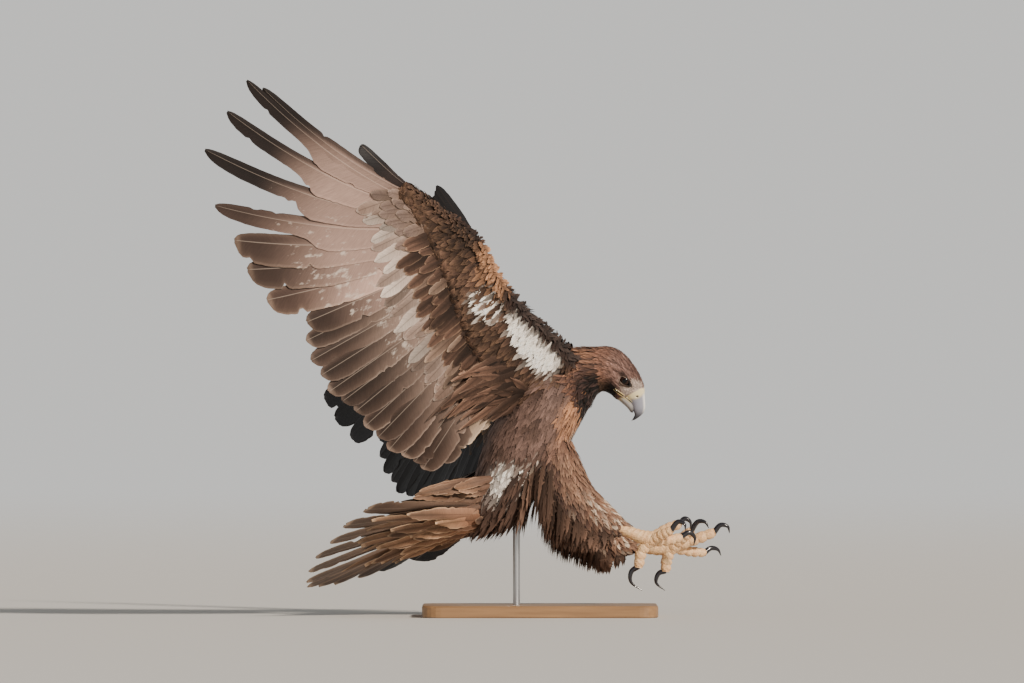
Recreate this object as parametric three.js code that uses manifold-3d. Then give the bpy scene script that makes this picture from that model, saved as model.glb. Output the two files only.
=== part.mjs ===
// Golden eagle coming in to land, with wings raised, tail fanned and feet thrown forward,
// held by a rod over a plain base. Millimetres, +Z up, bill towards +X, the bird's right
// side towards -Y. The origin is the middle of the underside of the base.

import * as THREE from 'three';
import { mergeVertices } from 'three/addons/utils/BufferGeometryUtils.js';
import Module from 'manifold-3d';

const wasm = await Module();
wasm.setup();

// Driving dimensions.

const GAP = 0.3; // between neighbours that meet face to face
const BASE = { length: 400, width: 300, height: 20, corner: 30, bevel: 2 };
const ROD = { x: -40, radius: 6, sides: 12 };
const BODY_SIDES = 18; // points round the torso, neck and head

// Outlines of the body as pairs of points in the mirror plane, [x, z] of the back edge and
// of the front edge, each with the half width there.
const TORSO = [
  { back: [14, 456], front: [85, 375], half: 56 },
  { back: [-7, 440], front: [83, 344], half: 76 },
  { back: [-36, 411], front: [71, 320], half: 88 },
  { back: [-63, 375], front: [56, 292], half: 90 },
  { back: [-85, 334], front: [37, 256], half: 85 },
  { back: [-102, 290], front: [8, 215], half: 73 },
  { back: [-112, 252], front: [-27, 168], half: 61 },
  { back: [-118, 225], front: [-66, 146], half: 50 },
  { back: [-124, 208], front: [-98, 148], half: 38 },
];
const NECK = [
  { back: [17, 449], front: [68, 352], half: 52 },
  { back: [27, 454], front: [85, 348], half: 56 },
  { back: [48, 460], front: [93, 366], half: 47 },
  { back: [71, 462], front: [102, 377], half: 38 },
  { back: [97, 462], front: [110, 381], half: 33 },
  { back: [112, 452], front: [115, 390], half: 25 },
];
const HEAD = [
  { back: [97, 462], front: [110, 381], half: 33 },
  { back: [116, 462], front: [116, 378], half: 33.5 },
  { back: [134, 456], front: [119, 377], half: 33 },
  { back: [150, 442], front: [122, 374], half: 30.5 },
  { back: [162, 427], front: [126, 371], half: 27.5 },
  { back: [171, 411], front: [130, 368], half: 23.5 },
  { back: [175.4, 395], front: [135, 365.5], half: 16 },
];
const BILL_UPPER = [
  { back: [170, 404], front: [134, 384], half: 15 },
  { back: [175.6, 392], front: [143.5, 375.5], half: 14 },
  { back: [177.8, 379], front: [150, 367.8], half: 12.5 },
  { back: [178.7, 366], front: [155.4, 360.6], half: 10.5 },
  { back: [178.8, 355], front: [157.8, 353.6], half: 8.6 },
  { back: [176.1, 346.6], front: [159.4, 348], half: 6.4 },
  { back: [170, 340.2], front: [160.8, 343.2], half: 4.2 },
  { back: [162.5, 335.1], front: [158.8, 338.1], half: 2.4 },
  { back: [155.7, 331.7], front: [155, 333.4], half: 0.9 },
];
const BILL_LOWER = [
  { back: [132, 384.5], front: [126, 374], half: 14 },
  { back: [142.5, 378.7], front: [132.9, 368.2], half: 12.5 },
  { back: [151.6, 371], front: [140.4, 361.7], half: 10.5 },
  { back: [158.4, 363.4], front: [147.6, 355.4], half: 8.4 },
  { back: [161.2, 355.8], front: [152.7, 349.2], half: 6.2 },
  { back: [161.4, 348.8], front: [155.7, 344.8], half: 3.6 },
];
const EYE = { x: 142, z: 402, y: 23.2, radius: 9.5 };

// Legs. The right one reaches a little higher and less far forward than the left.
const LEGS = {
  right: {
    side: -1,
    y: 46,
    thigh: [
      { back: [-12, 296], front: [50, 310], half: 18 },
      { back: [-14, 264], front: [58, 284], half: 34 },
      { back: [-12, 228], front: [76, 243], half: 36 },
      { back: [12, 186], front: [96, 217], half: 30 },
      { back: [48, 152], front: [116, 195], half: 23 },
      { back: [92, 134], front: [137, 173], half: 16 },
      { back: [134, 136], front: [160, 153], half: 10 },
    ],
    tarsus: [[136, 49, 150], [154, 50, 143], [172, 50, 136], [190, 50, 132]],
    toes: [
      { path: [[187, 49, 131], [211, 47, 147], [238, 45, 159]], radius: 9.5,
        claw: [[236, 45, 158], [246, 45, 167], [255, 45, 161], [255, 45, 149]] },
      { path: [[187, 53, 130], [206, 65, 140], [224, 74, 149]], radius: 8.5,
        claw: [[222, 73, 148], [234, 79, 162], [245, 83, 158], [246, 85, 147]] },
      { path: [[187, 45, 129], [214, 33, 130], [240, 22, 135]], radius: 9,
        claw: [[238, 23, 135], [254, 19, 143], [263, 17, 134], [261, 17, 121]] },
      { path: [[186, 50, 130], [172, 48, 110], [167, 46, 84]], radius: 9.5,
        claw: [[167, 46, 86], [155, 46, 77], [154, 46, 60], [173, 46, 45]] },
    ],
  },
  left: {
    side: 1,
    y: 46,
    thigh: [
      { back: [-4, 294], front: [58, 306], half: 18 },
      { back: [-5, 262], front: [68, 280], half: 34 },
      { back: [-2, 212], front: [88, 232], half: 36 },
      { back: [26, 158], front: [109, 191], half: 30 },
      { back: [68, 120], front: [129, 157], half: 23 },
      { back: [112, 96], front: [153, 133], half: 16 },
      { back: [160, 106], front: [184, 125], half: 10 },
    ],
    tarsus: [[158, 50, 117], [180, 51, 116], [204, 52, 115], [227, 52, 118]],
    toes: [
      { path: [[224, 51, 118], [263, 49, 130], [298, 48, 143]], radius: 9.5,
        claw: [[296, 48, 142], [308, 48, 155], [320, 48, 152], [323, 48, 141]] },
      { path: [[224, 55, 117], [255, 68, 110], [282, 79, 107]], radius: 8.5,
        claw: [[280, 78, 107], [292, 83, 115], [304, 88, 112], [309, 90, 102]] },
      { path: [[224, 47, 118], [243, 35, 134], [259, 26, 146]], radius: 9,
        claw: [[257, 27, 145], [269, 21, 161], [281, 16, 160], [287, 14, 150]] },
      { path: [[223, 52, 116], [216, 50, 96], [214, 48, 75]], radius: 9.5,
        claw: [[214, 48, 77], [202, 48, 72], [198, 48, 57], [213, 48, 43]] },
    ],
  },
};
const CLAW = { radius: 5, tip: 0.5, sides: 6, steps: 4 };
const TARSUS = { radii: [8, 10, 12, 14], sides: 9 };
const TOE = { sides: 7, steps: 4 };

// Wings. A point on a wing is given by u, from the shoulder towards the tip, v, from the
// leading edge line backwards, and a height above the middle surface on the underside.
const SHOULDER = { x: 34, y: 60, z: 443 };
const WING = { curl: 0.00005, wash: 0.3, camber: 18 };
// The left wing is held lower and further out than the right one, as the bird leans a little.
const WINGS = {
  right: { side: -1, angle: 139.5, reach: 1, spread: 0.8, breadth: 1 },
  left: { side: 1, angle: 157, reach: 0.64, spread: 1.1, breadth: 1.1 },
};
const LEADING_EDGE = [[-20, -18], [54, -23], [120, -26], [180, -41], [229, -62], [287, -63],
  [339, -60], [386, -54]];
const QUILL_LINE = [[-20, 108], [31, 107], [78, 102], [133, 89], [197, 55], [253, 21], [300, -1],
  [347, -17], [386, -30]];
const WING_HALF = [[-20, 26], [60, 23], [150, 20], [230, 16], [300, 12], [386, 8]];
const WING_CHORD = [0, 0.06, 0.2, 0.45, 0.75, 1];
const WING_SHAPE = [0.3, 0.75, 1, 0.95, 0.7, 0.4];

// Flight feathers from the wing tip to the elbow. Each row is the root [u, v], the tip [u, v]
// and how far the vane reaches to its leading and its trailing side.
const PRIMARIES = [
  [[369, -54], [473, -58], 6, 12],
  [[366, -44], [656, -19], 9, 22],
  [[353, -36], [684, -12], 10, 32],
  [[338, -30], [675, 48], 11, 40],
  [[322, -25], [662, 119], 12, 40],
  [[306, -20], [592, 179], 13, 36],
  [[290, -16], [533, 203], 14, 34],
  [[275, -11], [487, 227], 14, 33],
  [[261, -7], [432, 246], 14, 32],
  [[247, -2], [360, 232], 14, 30],
];
const SECONDARIES = {
  count: 12,
  roots: [[232, 4], [192, 28], [150, 50], [113, 66], [80, 74], [50, 78]],
  tips: [[341, 262], [262, 292], [185, 300], [107, 304], [50, 291], [38, 190]],
  lead: 15,
  trail: 27,
};
// Emarginated outlines: the share of the full width at each stretch of the vane.
const FINGER = [[0, 0.2, 0.1], [0.18, 0.8, 0.55], [0.5, 1, 1], [0.6, 0.85, 0.55], [0.84, 0.8, 0.48],
  [0.95, 0.55, 0.32], [1, 0.1, 0.06]];
const BLADE = [[0, 0.2, 0.1], [0.25, 0.75, 0.65], [0.6, 1, 1], [0.9, 0.9, 0.8],
  [1, 0.35, 0.3]];
const COVERT = [[0, 0.5, 0.5], [0.6, 1, 1], [1, 0.3, 0.3]];
const VANE = { thickness: 0.8, tilt: 0.085, curl: -70, bow: 0.05, fingers: 5 };

// Coverts lie in two tiers over the roots of the flight feathers, alike above and below the
// wing. Tips are read along u, and heights run from the buried root to the tip.
const COVERT_TIERS = [
  { count: 8, from: 34, to: 372, setBack: 0.72, heights: [3, 6.4], half: 25,
    tips: [[20, 176], [80, 184], [135, 188], [225, 158], [298, 110], [335, 84], [397, 38]] },
  { count: 7, from: 30, to: 352, setBack: 0.45, heights: [7, 11.5], half: 26,
    tips: [[20, 150], [123, 148], [196, 121], [254, 76], [318, 40], [363, 8]] },
];
const COVERT_LEAN = [[0, -6], [120, 4], [230, 18], [300, 30], [386, 44]];
const ALULA = { count: 3, root: [236, -56], tip: [334, -84], fan: 12, half: 9, height: -5 };

// Tail. Angles are from the middle line, to the near side or the far one.
const TAIL = {
  root: [-85, 189.5],
  droop: 24,
  length: 340,
  near: 53,
  far: 60,
  nearRise: 19,
  farRise: -8,
  half: 27,
  perSide: 6,
  sides: 14,
  core: [
    { reach: -20, half: 40, thick: 42, lift: 8 },
    { reach: 20, half: 46, thick: 38, lift: 18 },
    { reach: 70, half: 50, thick: 31, lift: 19 },
    { reach: 125, half: 46, thick: 20, lift: 11 },
    { reach: 180, half: 30, thick: 7, lift: 4 },
  ],
  coverts: [
    { count: 6, lift: -12, rise: 5, start: 40, length: 180, fan: 0.8, half: 20 },
    { count: 4, lift: -18, rise: 2, start: 20, length: 136, fan: 0.66, half: 20 },
    { count: 4, lift: 34, rise: -26, start: 20, length: 160, fan: 0.7, half: 20 },
  ],
};

// Loose feathers in rows over a body. Rows lie at shares of its length and between two angles
// from its front edge. A feather follows the body's own run, and bends to the lie given the
// more the nearer it is to the back edge. Lengths run from the front edge to the back one.
const TROUSERS = { rows: [0.3, 0.47, 0.64, 0.81], perRow: 4, arc: [70, 290], length: [40, 68],
  half: 15, sink: 6, lift: 0.06, lie: [-0.1, 0, -1], bend: 1, flow: 1 };
const HACKLES = { rows: [0.9, 0.62], perRow: 5, arc: [105, 255], length: [30, 42],
  half: 10, sink: 3, lift: 0.2, lie: [-1, 0, -0.1], bend: 0.3, flow: -1 };
const MANTLE = { rows: [0.12, 0.3], perRow: 4, arc: [158, 202], length: [60, 60],
  half: 15, sink: 5, lift: 0.06, lie: [-0.6, 0, -0.8], bend: 1, flow: 1 };
const VENT = { rows: [0.72, 0.86], perRow: 4, arc: [-75, 75], length: [52, 52],
  half: 17, sink: 6, lift: 0.1, lie: [-0.7, 0, -0.7], bend: 1, flow: 1 };
const LOOSE_LEAF = [[0, 0.6, 0.6], [0.55, 1, 1], [1, 0.1, 0.1]];

// Face, for the right side: [x, y, z] with y outwards.
const BROW = { path: [[122, 27, 421], [135, 30, 417], [148, 29.5, 408.5], [161, 21, 391]],
  radii: [1, 3, 3.4, 1.5] };
const LIDS = { y: 28.4, radius: 8.6, rim: 1.6, sides: 5, steps: 11 };
const LIPS = [
  { path: [[124, 24.6, 392], [136, 21.6, 382.4], [146, 16.4, 373.4]], radii: [0.8, 1.9, 1.3] },
  { path: [[123, 23.6, 388], [133, 19.8, 378.4], [141, 14.6, 370.4]], radii: [0.8, 1.9, 1.3] },
];
const NOSTRIL = { x: 165, y: 12.4, z: 374, radius: 2 };

// Finishes.

const material = (name, color, roughness, metalness = 0) =>
  new THREE.MeshStandardMaterial({ name, color, roughness, metalness });
const bodyBrown = material('body feathers', 0x5a4236, 0.85);
const wingBrown = material('wing feathers', 0x6b5347, 0.75);
const tailBrown = material('tail feathers', 0x7a5c48, 0.75);
const hackleGold = material('nape hackles', 0x8a5e42, 0.85);
const bareYellow = material('scaled toes', 0xd9b77e, 0.7);
const hornBlack = material('claw horn', 0x1d1a1c, 0.3);
const billGrey = material('bill horn', 0x9aa0a5, 0.35);
const eyeBrown = material('eye', 0x3a2414, 0.1);
const baseWood = material('waxed oak base', 0x8a6f52, 0.5);
const rodSteel = material('satin steel rod', 0x9a9c9e, 0.35, 1);

// Geometry helpers.

const radians = THREE.MathUtils.degToRad;
const { clamp, lerp, smoothstep } = THREE.MathUtils;
const vec = (x, y, z) => new THREE.Vector3(x, y, z);

// Reads a table of [place, value] rows at any place, straight between its rows.
function tableAt(table, place) {
  let row = 0;
  while (row < table.length - 2 && place > table[row + 1][0]) row += 1;
  const [fromPlace, fromValue] = table[row];
  const [toPlace, toValue] = table[row + 1];
  return lerp(fromValue, toValue, clamp((place - fromPlace) / (toPlace - fromPlace), 0, 1));
}

// Joins rings of equal length into one closed skin with a fan of triangles over each end.
// Faces in the second half of a ring take the other diagonal, so that the two sides of a
// thin plate are split alike.
function skin(rings) {
  const count = rings[0].length;
  const points = rings.flat();
  const triangles = [];
  for (let row = 0; row < rings.length - 1; row += 1) {
    for (let k = 0; k < count; k += 1) {
      const next = (k + 1) % count;
      const a = row * count + k;
      const b = row * count + next;
      const c = b + count;
      const d = a + count;
      if (k < count / 2) triangles.push([a, b, c], [a, c, d]);
      else triangles.push([a, b, d], [b, c, d]);
    }
  }
  [0, rings.length - 1].forEach((row, end) => {
    const middle = points.length;
    points.push(rings[row].reduce((sum, p) => sum.add(p), vec(0, 0, 0)).divideScalar(count));
    for (let k = 0; k < count; k += 1) {
      const a = row * count + k;
      const b = row * count + ((k + 1) % count);
      triangles.push(end === 0 ? [middle, b, a] : [middle, a, b]);
    }
  });
  return closedGeometry(points, triangles);
}

// Makes a geometry of points and triangles with its faces pointing out.
function closedGeometry(points, triangles) {
  const volume = triangles.reduce((sum, [a, b, c]) =>
    sum + points[a].dot(points[b].clone().cross(points[c])), 0);
  const order = volume < 0 ? ([a, b, c]) => [a, c, b] : (t) => t;
  const geometry = new THREE.BufferGeometry();
  geometry.setAttribute('position',
    new THREE.Float32BufferAttribute(points.flatMap((p) => [p.x, p.y, p.z]), 3));
  geometry.setIndex(triangles.flatMap(order));
  return geometry;
}

// Turns a closed geometry into a solid that can be joined and cut.
function solid(geometry) {
  const bare = geometry.clone();
  bare.deleteAttribute('normal');
  bare.deleteAttribute('uv');
  const merged = mergeVertices(bare, 1e-4);
  return new wasm.Manifold(new wasm.Mesh({
    numProp: 3,
    vertProperties: new Float32Array(merged.attributes.position.array),
    triVerts: new Uint32Array(merged.index.array),
  }));
}

const unite = (solids) => wasm.Manifold.union(solids);

// The largest closed surface of a solid, as a geometry.
function finished(shape) {
  const pieces = shape.decompose();
  pieces.sort((a, b) => b.volume() - a.volume());
  const mesh = pieces[0].getMesh();
  const geometry = new THREE.BufferGeometry();
  geometry.setAttribute('position', new THREE.BufferAttribute(mesh.vertProperties, 3));
  geometry.setIndex(new THREE.BufferAttribute(mesh.triVerts, 1));
  geometry.computeVertexNormals();
  return geometry;
}

// A body of oval rings through pairs of outline points, with its middle plane at y. A grown
// body is larger all round by the amount given.
function outlineBody(stations, { y = 0, rings = 3, sides = BODY_SIDES, grow = 0 } = {}) {
  const curve = (edge) => new THREE.CatmullRomCurve3(
    stations.map((s) => vec(s[edge][0], s.half, s[edge][1])));
  const backs = curve('back');
  const fronts = curve('front');
  const total = (stations.length - 1) * rings;
  const sections = [];
  for (let i = 0; i <= total; i += 1) {
    const back = backs.getPoint(i / total);
    const front = fronts.getPoint(i / total);
    const half = back.y + grow;
    back.y = y;
    front.y = y;
    const centre = back.clone().lerp(front, 0.5);
    const depth = front.sub(centre);
    depth.setLength(depth.length() + grow);
    sections.push({ centre, depth, side: vec(0, half, 0) });
  }
  return ovalBody(sections, sides, grow);
}

// A body of oval rings, each with a centre and two half axes.
function ovalBody(sections, sides, grow = 0) {
  const rings = sections.map(({ centre, depth, side }, i) => {
    const ring = [];
    const neighbour = sections[i === 0 ? 1 : i - 1].centre;
    const push = i === 0 || i === sections.length - 1 ? grow : 0;
    const middle = centre.clone().add(centre.clone().sub(neighbour).setLength(push));
    for (let k = 0; k < sides; k += 1) {
      const angle = (2 * Math.PI * (k + 0.5)) / sides;
      ring.push(middle.clone().addScaledVector(depth, Math.cos(angle))
        .addScaledVector(side, Math.sin(angle)));
    }
    return ring;
  });
  return solid(skin(rings));
}

// A round limb along a smooth curve through points, its radius read from a list. The oval is
// flattened sideways by the ratio given.
function limb(points, radii, { sides = 10, steps = 8, grow = 0, flat = 1 } = {}) {
  const curve = new THREE.CatmullRomCurve3(points);
  const frames = curve.computeFrenetFrames(steps, false);
  const table = radii.map((radius, i) => [i / (radii.length - 1), radius]);
  const sections = [];
  for (let i = 0; i <= steps; i += 1) {
    const radius = tableAt(table, i / steps) + grow;
    sections.push({
      centre: curve.getPointAt(i / steps),
      depth: frames.normals[i].clone().multiplyScalar(radius),
      side: frames.binormals[i].clone().multiplyScalar(radius * flat),
    });
  }
  return ovalBody(sections, sides, grow);
}

// A thin plate along a middle line. The outline rows give the place along the line and the
// share of the width to each side there, and at() turns a place along, an offset across and
// a height off the middle into a point.
function vane(at, outline, left, right, grow = 0) {
  const rings = outline.map(([along, leftShare, rightShare]) => {
    const half = VANE.thickness * lerp(0.5, 0.35, along) + grow;
    const [from, to] = [-left * leftShare - grow, right * rightShare + grow];
    const corner = (offset, height) => at(along, offset, height);
    return [corner(from, half), corner(to, half), corner(to, -half), corner(from, -half)];
  });
  return solid(plateSkin(rings));
}

// Rings of four corners joined into a closed plate, both faces split alike.
function plateSkin(rings) {
  const points = rings.flat();
  const last = points.length - 4;
  const triangles = [[0, 2, 1], [0, 3, 2], [last, last + 1, last + 2], [last, last + 2, last + 3]];
  for (let a = 0; a < last; a += 4) {
    triangles.push([a, a + 1, a + 5], [a, a + 5, a + 4]);
    triangles.push([a + 3, a + 7, a + 6], [a + 3, a + 6, a + 2]);
    triangles.push([a + 1, a + 2, a + 6], [a + 1, a + 6, a + 5]);
    triangles.push([a + 3, a, a + 4], [a + 3, a + 4, a + 7]);
  }
  return closedGeometry(points, triangles);
}

// Reads a smooth line through [x, y] points at a share of its length.
function lineAt(points, share) {
  const line = new THREE.CatmullRomCurve3(points.map(([x, y]) => vec(x, y, 0)));
  const point = line.getPoint(share);
  return [point.x, point.y];
}

// Numbers from 0 to 1 in an order fixed by the seed.
function seededRandom(seed) {
  let state = seed;
  return () => {
    state = (state * 1664525 + 1013904223) % 4294967296;
    return state / 4294967296;
  };
}

// Rows of loose feathers on an outline body, each rooted under its surface.
function plumage(stations, rows, { y = 0, seed = 1, grow = 0 } = {}) {
  const random = seededRandom(seed);
  const step = 0.01;
  const pieces = [];
  rows.rows.forEach((share, row) => {
    for (let k = 0; k < rows.perRow; k += 1) {
      const turn = lerp(...rows.arc, (k + 0.5 * (row % 2) + 0.25) / rows.perRow);
      const behind = (1 - Math.cos(radians(turn))) / 2;
      const point = surfacePoint(stations, share, turn, y);
      const run = surfacePoint(stations, share + step, turn, y)
        .sub(surfacePoint(stations, share - step, turn, y)).normalize();
      const round = surfacePoint(stations, share, turn + 2, y).sub(point);
      const outward = run.clone().cross(round).normalize();
      if (outward.dot(point.clone().sub(surfacePoint(stations, share, turn + 180, y))) < 0) {
        outward.negate();
      }
      const way = run.multiplyScalar(rows.flow).lerp(vec(...rows.lie).normalize(), behind * rows.bend);
      way.y += 0.3 * (random() - 0.5);
      way.addScaledVector(outward, -way.dot(outward)).normalize();
      const across = way.clone().cross(outward);
      const length = lerp(...rows.length, behind) * (0.9 + 0.2 * random()) + 2 * grow;
      const rise = rows.sink + rows.lift * length;
      const at = (along, offset, height) => point.clone()
        .addScaledVector(way, length * along)
        .addScaledVector(across, offset)
        .addScaledVector(outward,
          rise * Math.sqrt(along) - rows.sink + VANE.tilt * offset + height);
      pieces.push(vane(at, LOOSE_LEAF, rows.half, rows.half, grow));
    }
  });
  return pieces;
}

// A point on an outline body, at a share of its length and an angle from its front edge.
function surfacePoint(stations, share, turn, y = 0) {
  const read = (edge) => new THREE.CatmullRomCurve3(
    stations.map((s) => vec(s[edge][0], s.half, s[edge][1]))).getPoint(clamp(share, 0, 1));
  const [back, front] = [read('back'), read('front')];
  const half = back.y * Math.sin(radians(turn));
  const place = back.lerp(front, (1 + Math.cos(radians(turn))) / 2);
  place.y = y + half;
  return place;
}

// Parts.

function baseGeometry() {
  const { length, width, height, corner, bevel } = BASE;
  const [x, y] = [length / 2 - bevel, width / 2 - bevel];
  const outline = new THREE.Shape();
  outline.moveTo(-x + corner, -y);
  outline.lineTo(x - corner, -y);
  outline.absarc(x - corner, -y + corner, corner, -Math.PI / 2, 0);
  outline.absarc(x - corner, y - corner, corner, 0, Math.PI / 2);
  outline.absarc(-x + corner, y - corner, corner, Math.PI / 2, Math.PI);
  outline.absarc(-x + corner, -y + corner, corner, Math.PI, 1.5 * Math.PI);
  const geometry = new THREE.ExtrudeGeometry(outline, {
    depth: height - 2 * bevel,
    bevelThickness: bevel,
    bevelSize: bevel,
    bevelSegments: 1,
    curveSegments: 3,
  });
  return geometry.translate(0, 0, bevel);
}

function rodSolid() {
  const bottom = BASE.height + GAP;
  const top = (TORSO[5].front[1] + TORSO[5].back[1]) / 2;
  const rod = new THREE.CylinderGeometry(ROD.radius, ROD.radius, top - bottom, ROD.sides);
  rod.rotateX(Math.PI / 2).translate(ROD.x, 0, (top + bottom) / 2);
  return solid(rod);
}

// Middle surface of a wing and the direction that its underside faces.
function wingMiddle(wing, u, v) {
  const angle = radians(wing.angle);
  const back = wing.breadth * v;
  const wash = WING.wash * smoothstep(u, 0, 300) * back;
  const camber = WING.camber * Math.sin(Math.PI * clamp((back + 40) / 360, 0, 1));
  const depth = SHOULDER.y + wing.spread * u - WING.curl * u * u + wash - camber;
  return vec(
    SHOULDER.x + wing.reach * u * Math.cos(angle) - back * Math.sin(angle),
    wing.side * depth,
    SHOULDER.z + wing.reach * u * Math.sin(angle) + back * Math.cos(angle),
  );
}

function wingPoint(wing, u, v, height) {
  const step = 2;
  const middle = wingMiddle(wing, u, v);
  const along = wingMiddle(wing, u + step, v).sub(wingMiddle(wing, u - step, v));
  const across = wingMiddle(wing, u, v + step).sub(wingMiddle(wing, u, v - step));
  const under = along.cross(across).normalize().multiplyScalar(-wing.side);
  return middle.addScaledVector(under, height);
}

// The wing's own thickness, from its leading edge to the line where the quills come out.
function wingCore(wing, grow = 0) {
  const stations = [-20, 60, 120, 180, 229, 287, 340, 386];
  const rings = stations.map((u) => {
    const lead = tableAt(LEADING_EDGE, u) - grow;
    const trail = tableAt(QUILL_LINE, u) + grow;
    const half = tableAt(WING_HALF, u);
    const face = (sign) => WING_CHORD.map((c, i) =>
      wingPoint(wing, u, lerp(lead, trail, c), sign * (half * WING_SHAPE[i] + grow)));
    return [...face(1), ...face(-1).reverse()];
  });
  return solid(skin(rings));
}

// A vane on a wing between two [u, v] points. Its height off the middle surface runs from
// the first value to the second, and each vane leans so that its neighbours slide under it.
// A finger is bowed back along its length and curls up at its tip.
function wingVane(wing, root, tip, outline, left, right, [low, high], finger = 0) {
  const [du, dv] = [tip[0] - root[0], tip[1] - root[1]];
  const length = Math.hypot(du, dv);
  const at = (along, offset, height) => {
    const sweep = offset + finger * VANE.bow * length * (1 - 4 * (along - 0.5) ** 2);
    const u = root[0] + du * along - (dv / length) * sweep;
    const v = root[1] + dv * along + (du / length) * sweep;
    const curl = finger * VANE.curl * Math.max(0, along - 0.5) ** 2;
    return wingPoint(wing, u, v, lerp(low, high, along) + VANE.tilt * offset + curl + height);
  };
  return vane(at, outline, left, right);
}

function wingSolid(wing) {
  const pieces = [wingCore(wing)];
  PRIMARIES.forEach(([root, tip, lead, trail], i) => {
    const finger = clamp(1 - (i - 4) / VANE.fingers, 0, 1);
    const outline = i > 0 && i < 6 ? FINGER : BLADE;
    pieces.push(wingVane(wing, root, tip, outline, lead, trail, [0, 0], finger));
  });
  const { count, roots, tips, lead, trail } = SECONDARIES;
  for (let i = 0; i < count; i += 1) {
    const share = i / (count - 1);
    const root = lineAt(roots, share);
    pieces.push(wingVane(wing, root, lineAt(tips, share), BLADE, lead, trail, [0, 0]));
  }
  COVERT_TIERS.forEach((tier) => {
    for (let i = 0; i < tier.count; i += 1) {
      const u = lerp(tier.from, tier.to, i / (tier.count - 1));
      const v = lerp(tableAt(LEADING_EDGE, u), tableAt(QUILL_LINE, u), tier.setBack);
      const tipU = u + tableAt(COVERT_LEAN, u);
      const tip = [tipU, tableAt(tier.tips, tipU)];
      const room = Math.min(1, tableAt(WING_HALF, u) / 12);
      [1, -1].forEach((face) => {
        const heights = tier.heights.map((height, end) => face * height * (end ? 1 : room));
        pieces.push(wingVane(wing, [u, v], tip, COVERT, tier.half, tier.half, heights));
      });
    }
  });
  for (let i = 0; i < ALULA.count; i += 1) {
    const root = [ALULA.root[0] + 3 * i, ALULA.root[1] + 5 * i];
    const tip = [ALULA.tip[0] + ALULA.fan * i * 0.4, ALULA.tip[1] + ALULA.fan * i];
    pieces.push(wingVane(wing, root, tip, BLADE, ALULA.half, ALULA.half,
      [ALULA.height, ALULA.height - 6 + 2 * i]));
  }
  return unite(pieces);
}

function tailFrame(angle) {
  const droop = radians(TAIL.droop);
  const axis = vec(-Math.cos(droop), 0, -Math.sin(droop));
  const up = vec(-Math.sin(droop), 0, Math.cos(droop));
  const rise = radians(angle < 0 ? TAIL.farRise : TAIL.nearRise);
  const outward = vec(0, angle < 0 ? 1 : -1, 0).multiplyScalar(Math.cos(rise))
    .addScaledVector(up, Math.sin(rise));
  return { axis, up, outward };
}

const tailRoot = vec(TAIL.root[0], 0, TAIL.root[1]);

function tailCore() {
  const { axis } = tailFrame(0);
  const side = tailFrame(1).outward.clone().sub(tailFrame(-1).outward).normalize();
  const up = side.clone().cross(axis).normalize();
  const sections = TAIL.core.map(({ reach, half, thick, lift }) => ({
    centre: tailRoot.clone().addScaledVector(axis, reach).addScaledVector(up, lift),
    depth: up.clone().multiplyScalar(thick),
    side: side.clone().multiplyScalar(half),
  }));
  return ovalBody(sections, TAIL.sides);
}

// A vane of the tail at an angle from the middle line. Outer feathers lie under inner ones.
function tailVane(angle, { start, length, half, outline, lift = 0, rise = 0 }) {
  const { axis, up, outward } = tailFrame(angle);
  const [c, s] = [Math.cos(radians(angle)), Math.sin(radians(Math.abs(angle)))];
  const along = axis.clone().multiplyScalar(c).addScaledVector(outward, s);
  const across = outward.clone().multiplyScalar(c).addScaledVector(axis, -s);
  const normal = along.clone().cross(across);
  if (normal.dot(up) < 0) normal.negate();
  const at = (share, offset, height) => tailRoot.clone()
    .addScaledVector(along, start + length * share)
    .addScaledVector(across, offset)
    .addScaledVector(normal, lift + rise * share + VANE.tilt * offset + height);
  return vane(at, outline, half, half);
}

function tailSolid() {
  const pieces = [tailCore()];
  [1, -1].forEach((sign) => {
    const spread = sign > 0 ? TAIL.near : TAIL.far;
    for (let i = 0; i < TAIL.perSide; i += 1) {
      const angle = sign * spread * ((i + 0.4) / (TAIL.perSide - 0.6));
      pieces.push(tailVane(angle, {
        start: 10,
        length: TAIL.length - 10 - 5 * i,
        half: TAIL.half,
        outline: BLADE,
        lift: sign < 0 ? 2 : -2,
      }));
    }
  });
  TAIL.coverts.forEach(({ count, fan, ...size }) => {
    for (let i = 0; i < count; i += 1) {
      const angle = lerp(-TAIL.far, TAIL.near, (i + 0.5) / count) * fan;
      pieces.push(tailVane(angle, { ...size, outline: COVERT }));
    }
  });
  return unite(pieces);
}

// Assembly.

const eagle = new THREE.Group();

function place(name, shape, finish) {
  const geometry = shape instanceof THREE.BufferGeometry ? shape : finished(shape);
  const mesh = new THREE.Mesh(geometry, finish);
  mesh.name = name;
  eagle.add(mesh);
}

const cut = (shape, ...others) => others.reduce((left, other) => left.subtract(other), shape);

const torsoShape = (grow) => unite([
  outlineBody(TORSO, { rings: 2, grow }),
  ...plumage(TORSO, MANTLE, { seed: 3, grow }),
  ...plumage(TORSO, VENT, { seed: 4, grow }),
]);
const neckShape = (grow) => unite([
  outlineBody(NECK, { rings: 2, grow }),
  ...plumage(NECK, HACKLES, { seed: 5, grow }),
]);
const thighShape = (leg, grow) => {
  const y = leg.side * leg.y;
  return unite([
    outlineBody(leg.thigh, { y, sides: 12, rings: 2, grow }),
    ...plumage(leg.thigh, TROUSERS, { y, seed: 6, grow }),
  ]);
};

function eyeSolid(side, grow = 0) {
  const ball = new THREE.SphereGeometry(EYE.radius + grow, 12, 8);
  return solid(ball.translate(EYE.x, side * EYE.y, EYE.z));
}

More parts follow.
